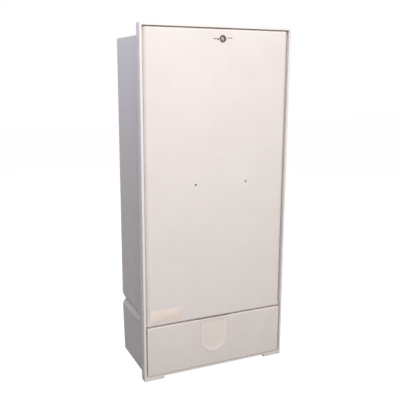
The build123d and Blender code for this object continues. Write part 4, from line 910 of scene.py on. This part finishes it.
# %% Rivet the end plates and copy the link to each pole
stud_level = FUSE_HALF_HEIGHT - STUD_HEIGHT / 2
outer_rim = stud_level + 0.15 * MM
studs = []
for level in (-stud_level, stud_level):
    for across in (-STUD_X, STUD_X):
        for depth in (FUSE_FRONT + STUD_MARGIN, FUSE_BACK - STUD_MARGIN):
            stud = start_piece("stud", bpy.ops.mesh.primitive_cylinder_add, vertices=16,
                               radius=STUD_RADIUS, depth=STUD_HEIGHT,
                               location=(across, depth, level))
            pick_edges(stud, lambda middle, along: abs(middle.z) > outer_rim)
            round_over(STUD_ROUND, 2)
            smooth(stud)
            studs.append(stud)
plates_pattern = join_pieces(plate_low, plate_high, *studs)
LINK_PARTS = (("fuse_body", body_pattern, ceramic, "ceramic"),
              ("fuse_plates", plates_pattern, silvered, "contact"))
for strip, x in enumerate(STRIP_X, start=1):
    places = [(x, 0.0, height) for height in POLE_HEIGHTS]
    for kind, pattern, finish, slot in LINK_PARTS:
        own = pattern.copy()
        own.data = pattern.data.copy()
        bpy.context.scene.collection.objects.link(own)
        for link in place_copies(own, f"{kind}_{strip}", places):
            hand_over(link, finish, f"lid_{strip}", slot, f"fuse_bodies_{strip}")
for pattern in (body_pattern, plates_pattern):
    bpy.data.objects.remove(pattern)
print("fuse links", len(STRIP_X) * len(POLE_HEIGHTS))

# %% [markdown]
# ## The floor
# The cabinet is shown on pure white. The floor glows white for what the camera, gloss and
# glass see of it, and stays a dark grey under the lamps. So it keeps a faint shadow, and
# throws little light back onto the cabinet.

# %% Make the floor
FLOOR_HALF = 9.0
FLOOR_GREY, FLOOR_GLOW = (0.16, 0.16, 0.16, 1.0), 0.95
WHITE = (1.0, 1.0, 1.0, 1.0)

bpy.ops.object.select_all(action="DESELECT")
bpy.ops.mesh.primitive_plane_add(size=2 * FLOOR_HALF, location=(0.0, 0.0, 0.0))
floor = bpy.context.object
floor.name = "floor"
floor_finish, tree, shader, place = start_finish("white_floor", 0.9, specular=0.0)
shader.inputs["Base Color"].default_value = FLOOR_GREY
shader.inputs["Emission Color"].default_value = WHITE
glow = maths(tree, "MULTIPLY", seen_straight(tree), FLOOR_GLOW)
tree.links.new(glow, shader.inputs["Emission Strength"])
dress(floor, floor_finish)
print("floor", 2 * FLOOR_HALF, "m across")

# %% [markdown]
# ## Backdrop and lamps
# The world is white where it is seen and a weak pink fill where it only lights. Four soft
# lamps do the rest. The key hangs high in front, so the face is bright at its head and
# darker at its foot. A fill at the camera's height evens it out, a cool one close to the
# left gives the side its blue head, and one behind keeps the far edges light.

# %% Light the scene
WORLD_FILL, WORLD_TINT = 0.25, (1.0, 0.92, 0.925, 1.0)
# Each lamp's name, place, target, size in metres, power in watts and colour.
LAMPS = (
    ("key_lamp", (-0.35, -2.1, 2.3), (0.0, 0.0, 0.85), 1.2, 48.8, (1.0, 1.0, 0.985)),
    ("front_fill", (-0.25, -3.0, 0.9), (0.0, 0.0, 0.9), 0.8, 14.0, (1.0, 0.985, 0.97)),
    ("cool_fill", (-0.95, 0.1, 1.9), (-0.23, 0.0, 1.2), 0.6, 8.4, (0.70, 0.77, 1.0)),
    ("back_lamp", (1.3, 2.3, 2.0), (0.0, 0.1, 0.6), 1.4, 40.0, (1.0, 0.99, 0.98)),
)
world = bpy.data.worlds.new("white_room")
bpy.context.scene.world = world
world.use_nodes = True
tree = world.node_tree
tree.nodes.clear()
seen = seen_straight(tree)
strength = between(tree, seen, 0.0, 1.0, WORLD_FILL, 1.0)
tint = over(tree, seen, WORLD_TINT, WHITE)
room = add_node(tree, "ShaderNodeBackground", {"Color": tint, "Strength": strength})
output = add_node(tree, "ShaderNodeOutputWorld")
tree.links.new(room.outputs[0], output.inputs["Surface"])


def soft_lamp(name, place, target, size, power, colour):
    """Square lamp aimed at a point."""
    data = bpy.data.lights.new(name, "AREA")
    data.shape = "SQUARE"
    data.size = size
    data.energy = power
    data.color = colour
    lamp = bpy.data.objects.new(name, data)
    lamp.location = place
    aim = Vector(target) - Vector(place)
    lamp.rotation_euler = aim.to_track_quat("-Z", "Y").to_euler()
    bpy.context.scene.collection.objects.link(lamp)


for settings in LAMPS:
    soft_lamp(*settings)
bpy.context.scene.view_settings.view_transform = "Standard"
print(len(LAMPS), "lamps and a white world")
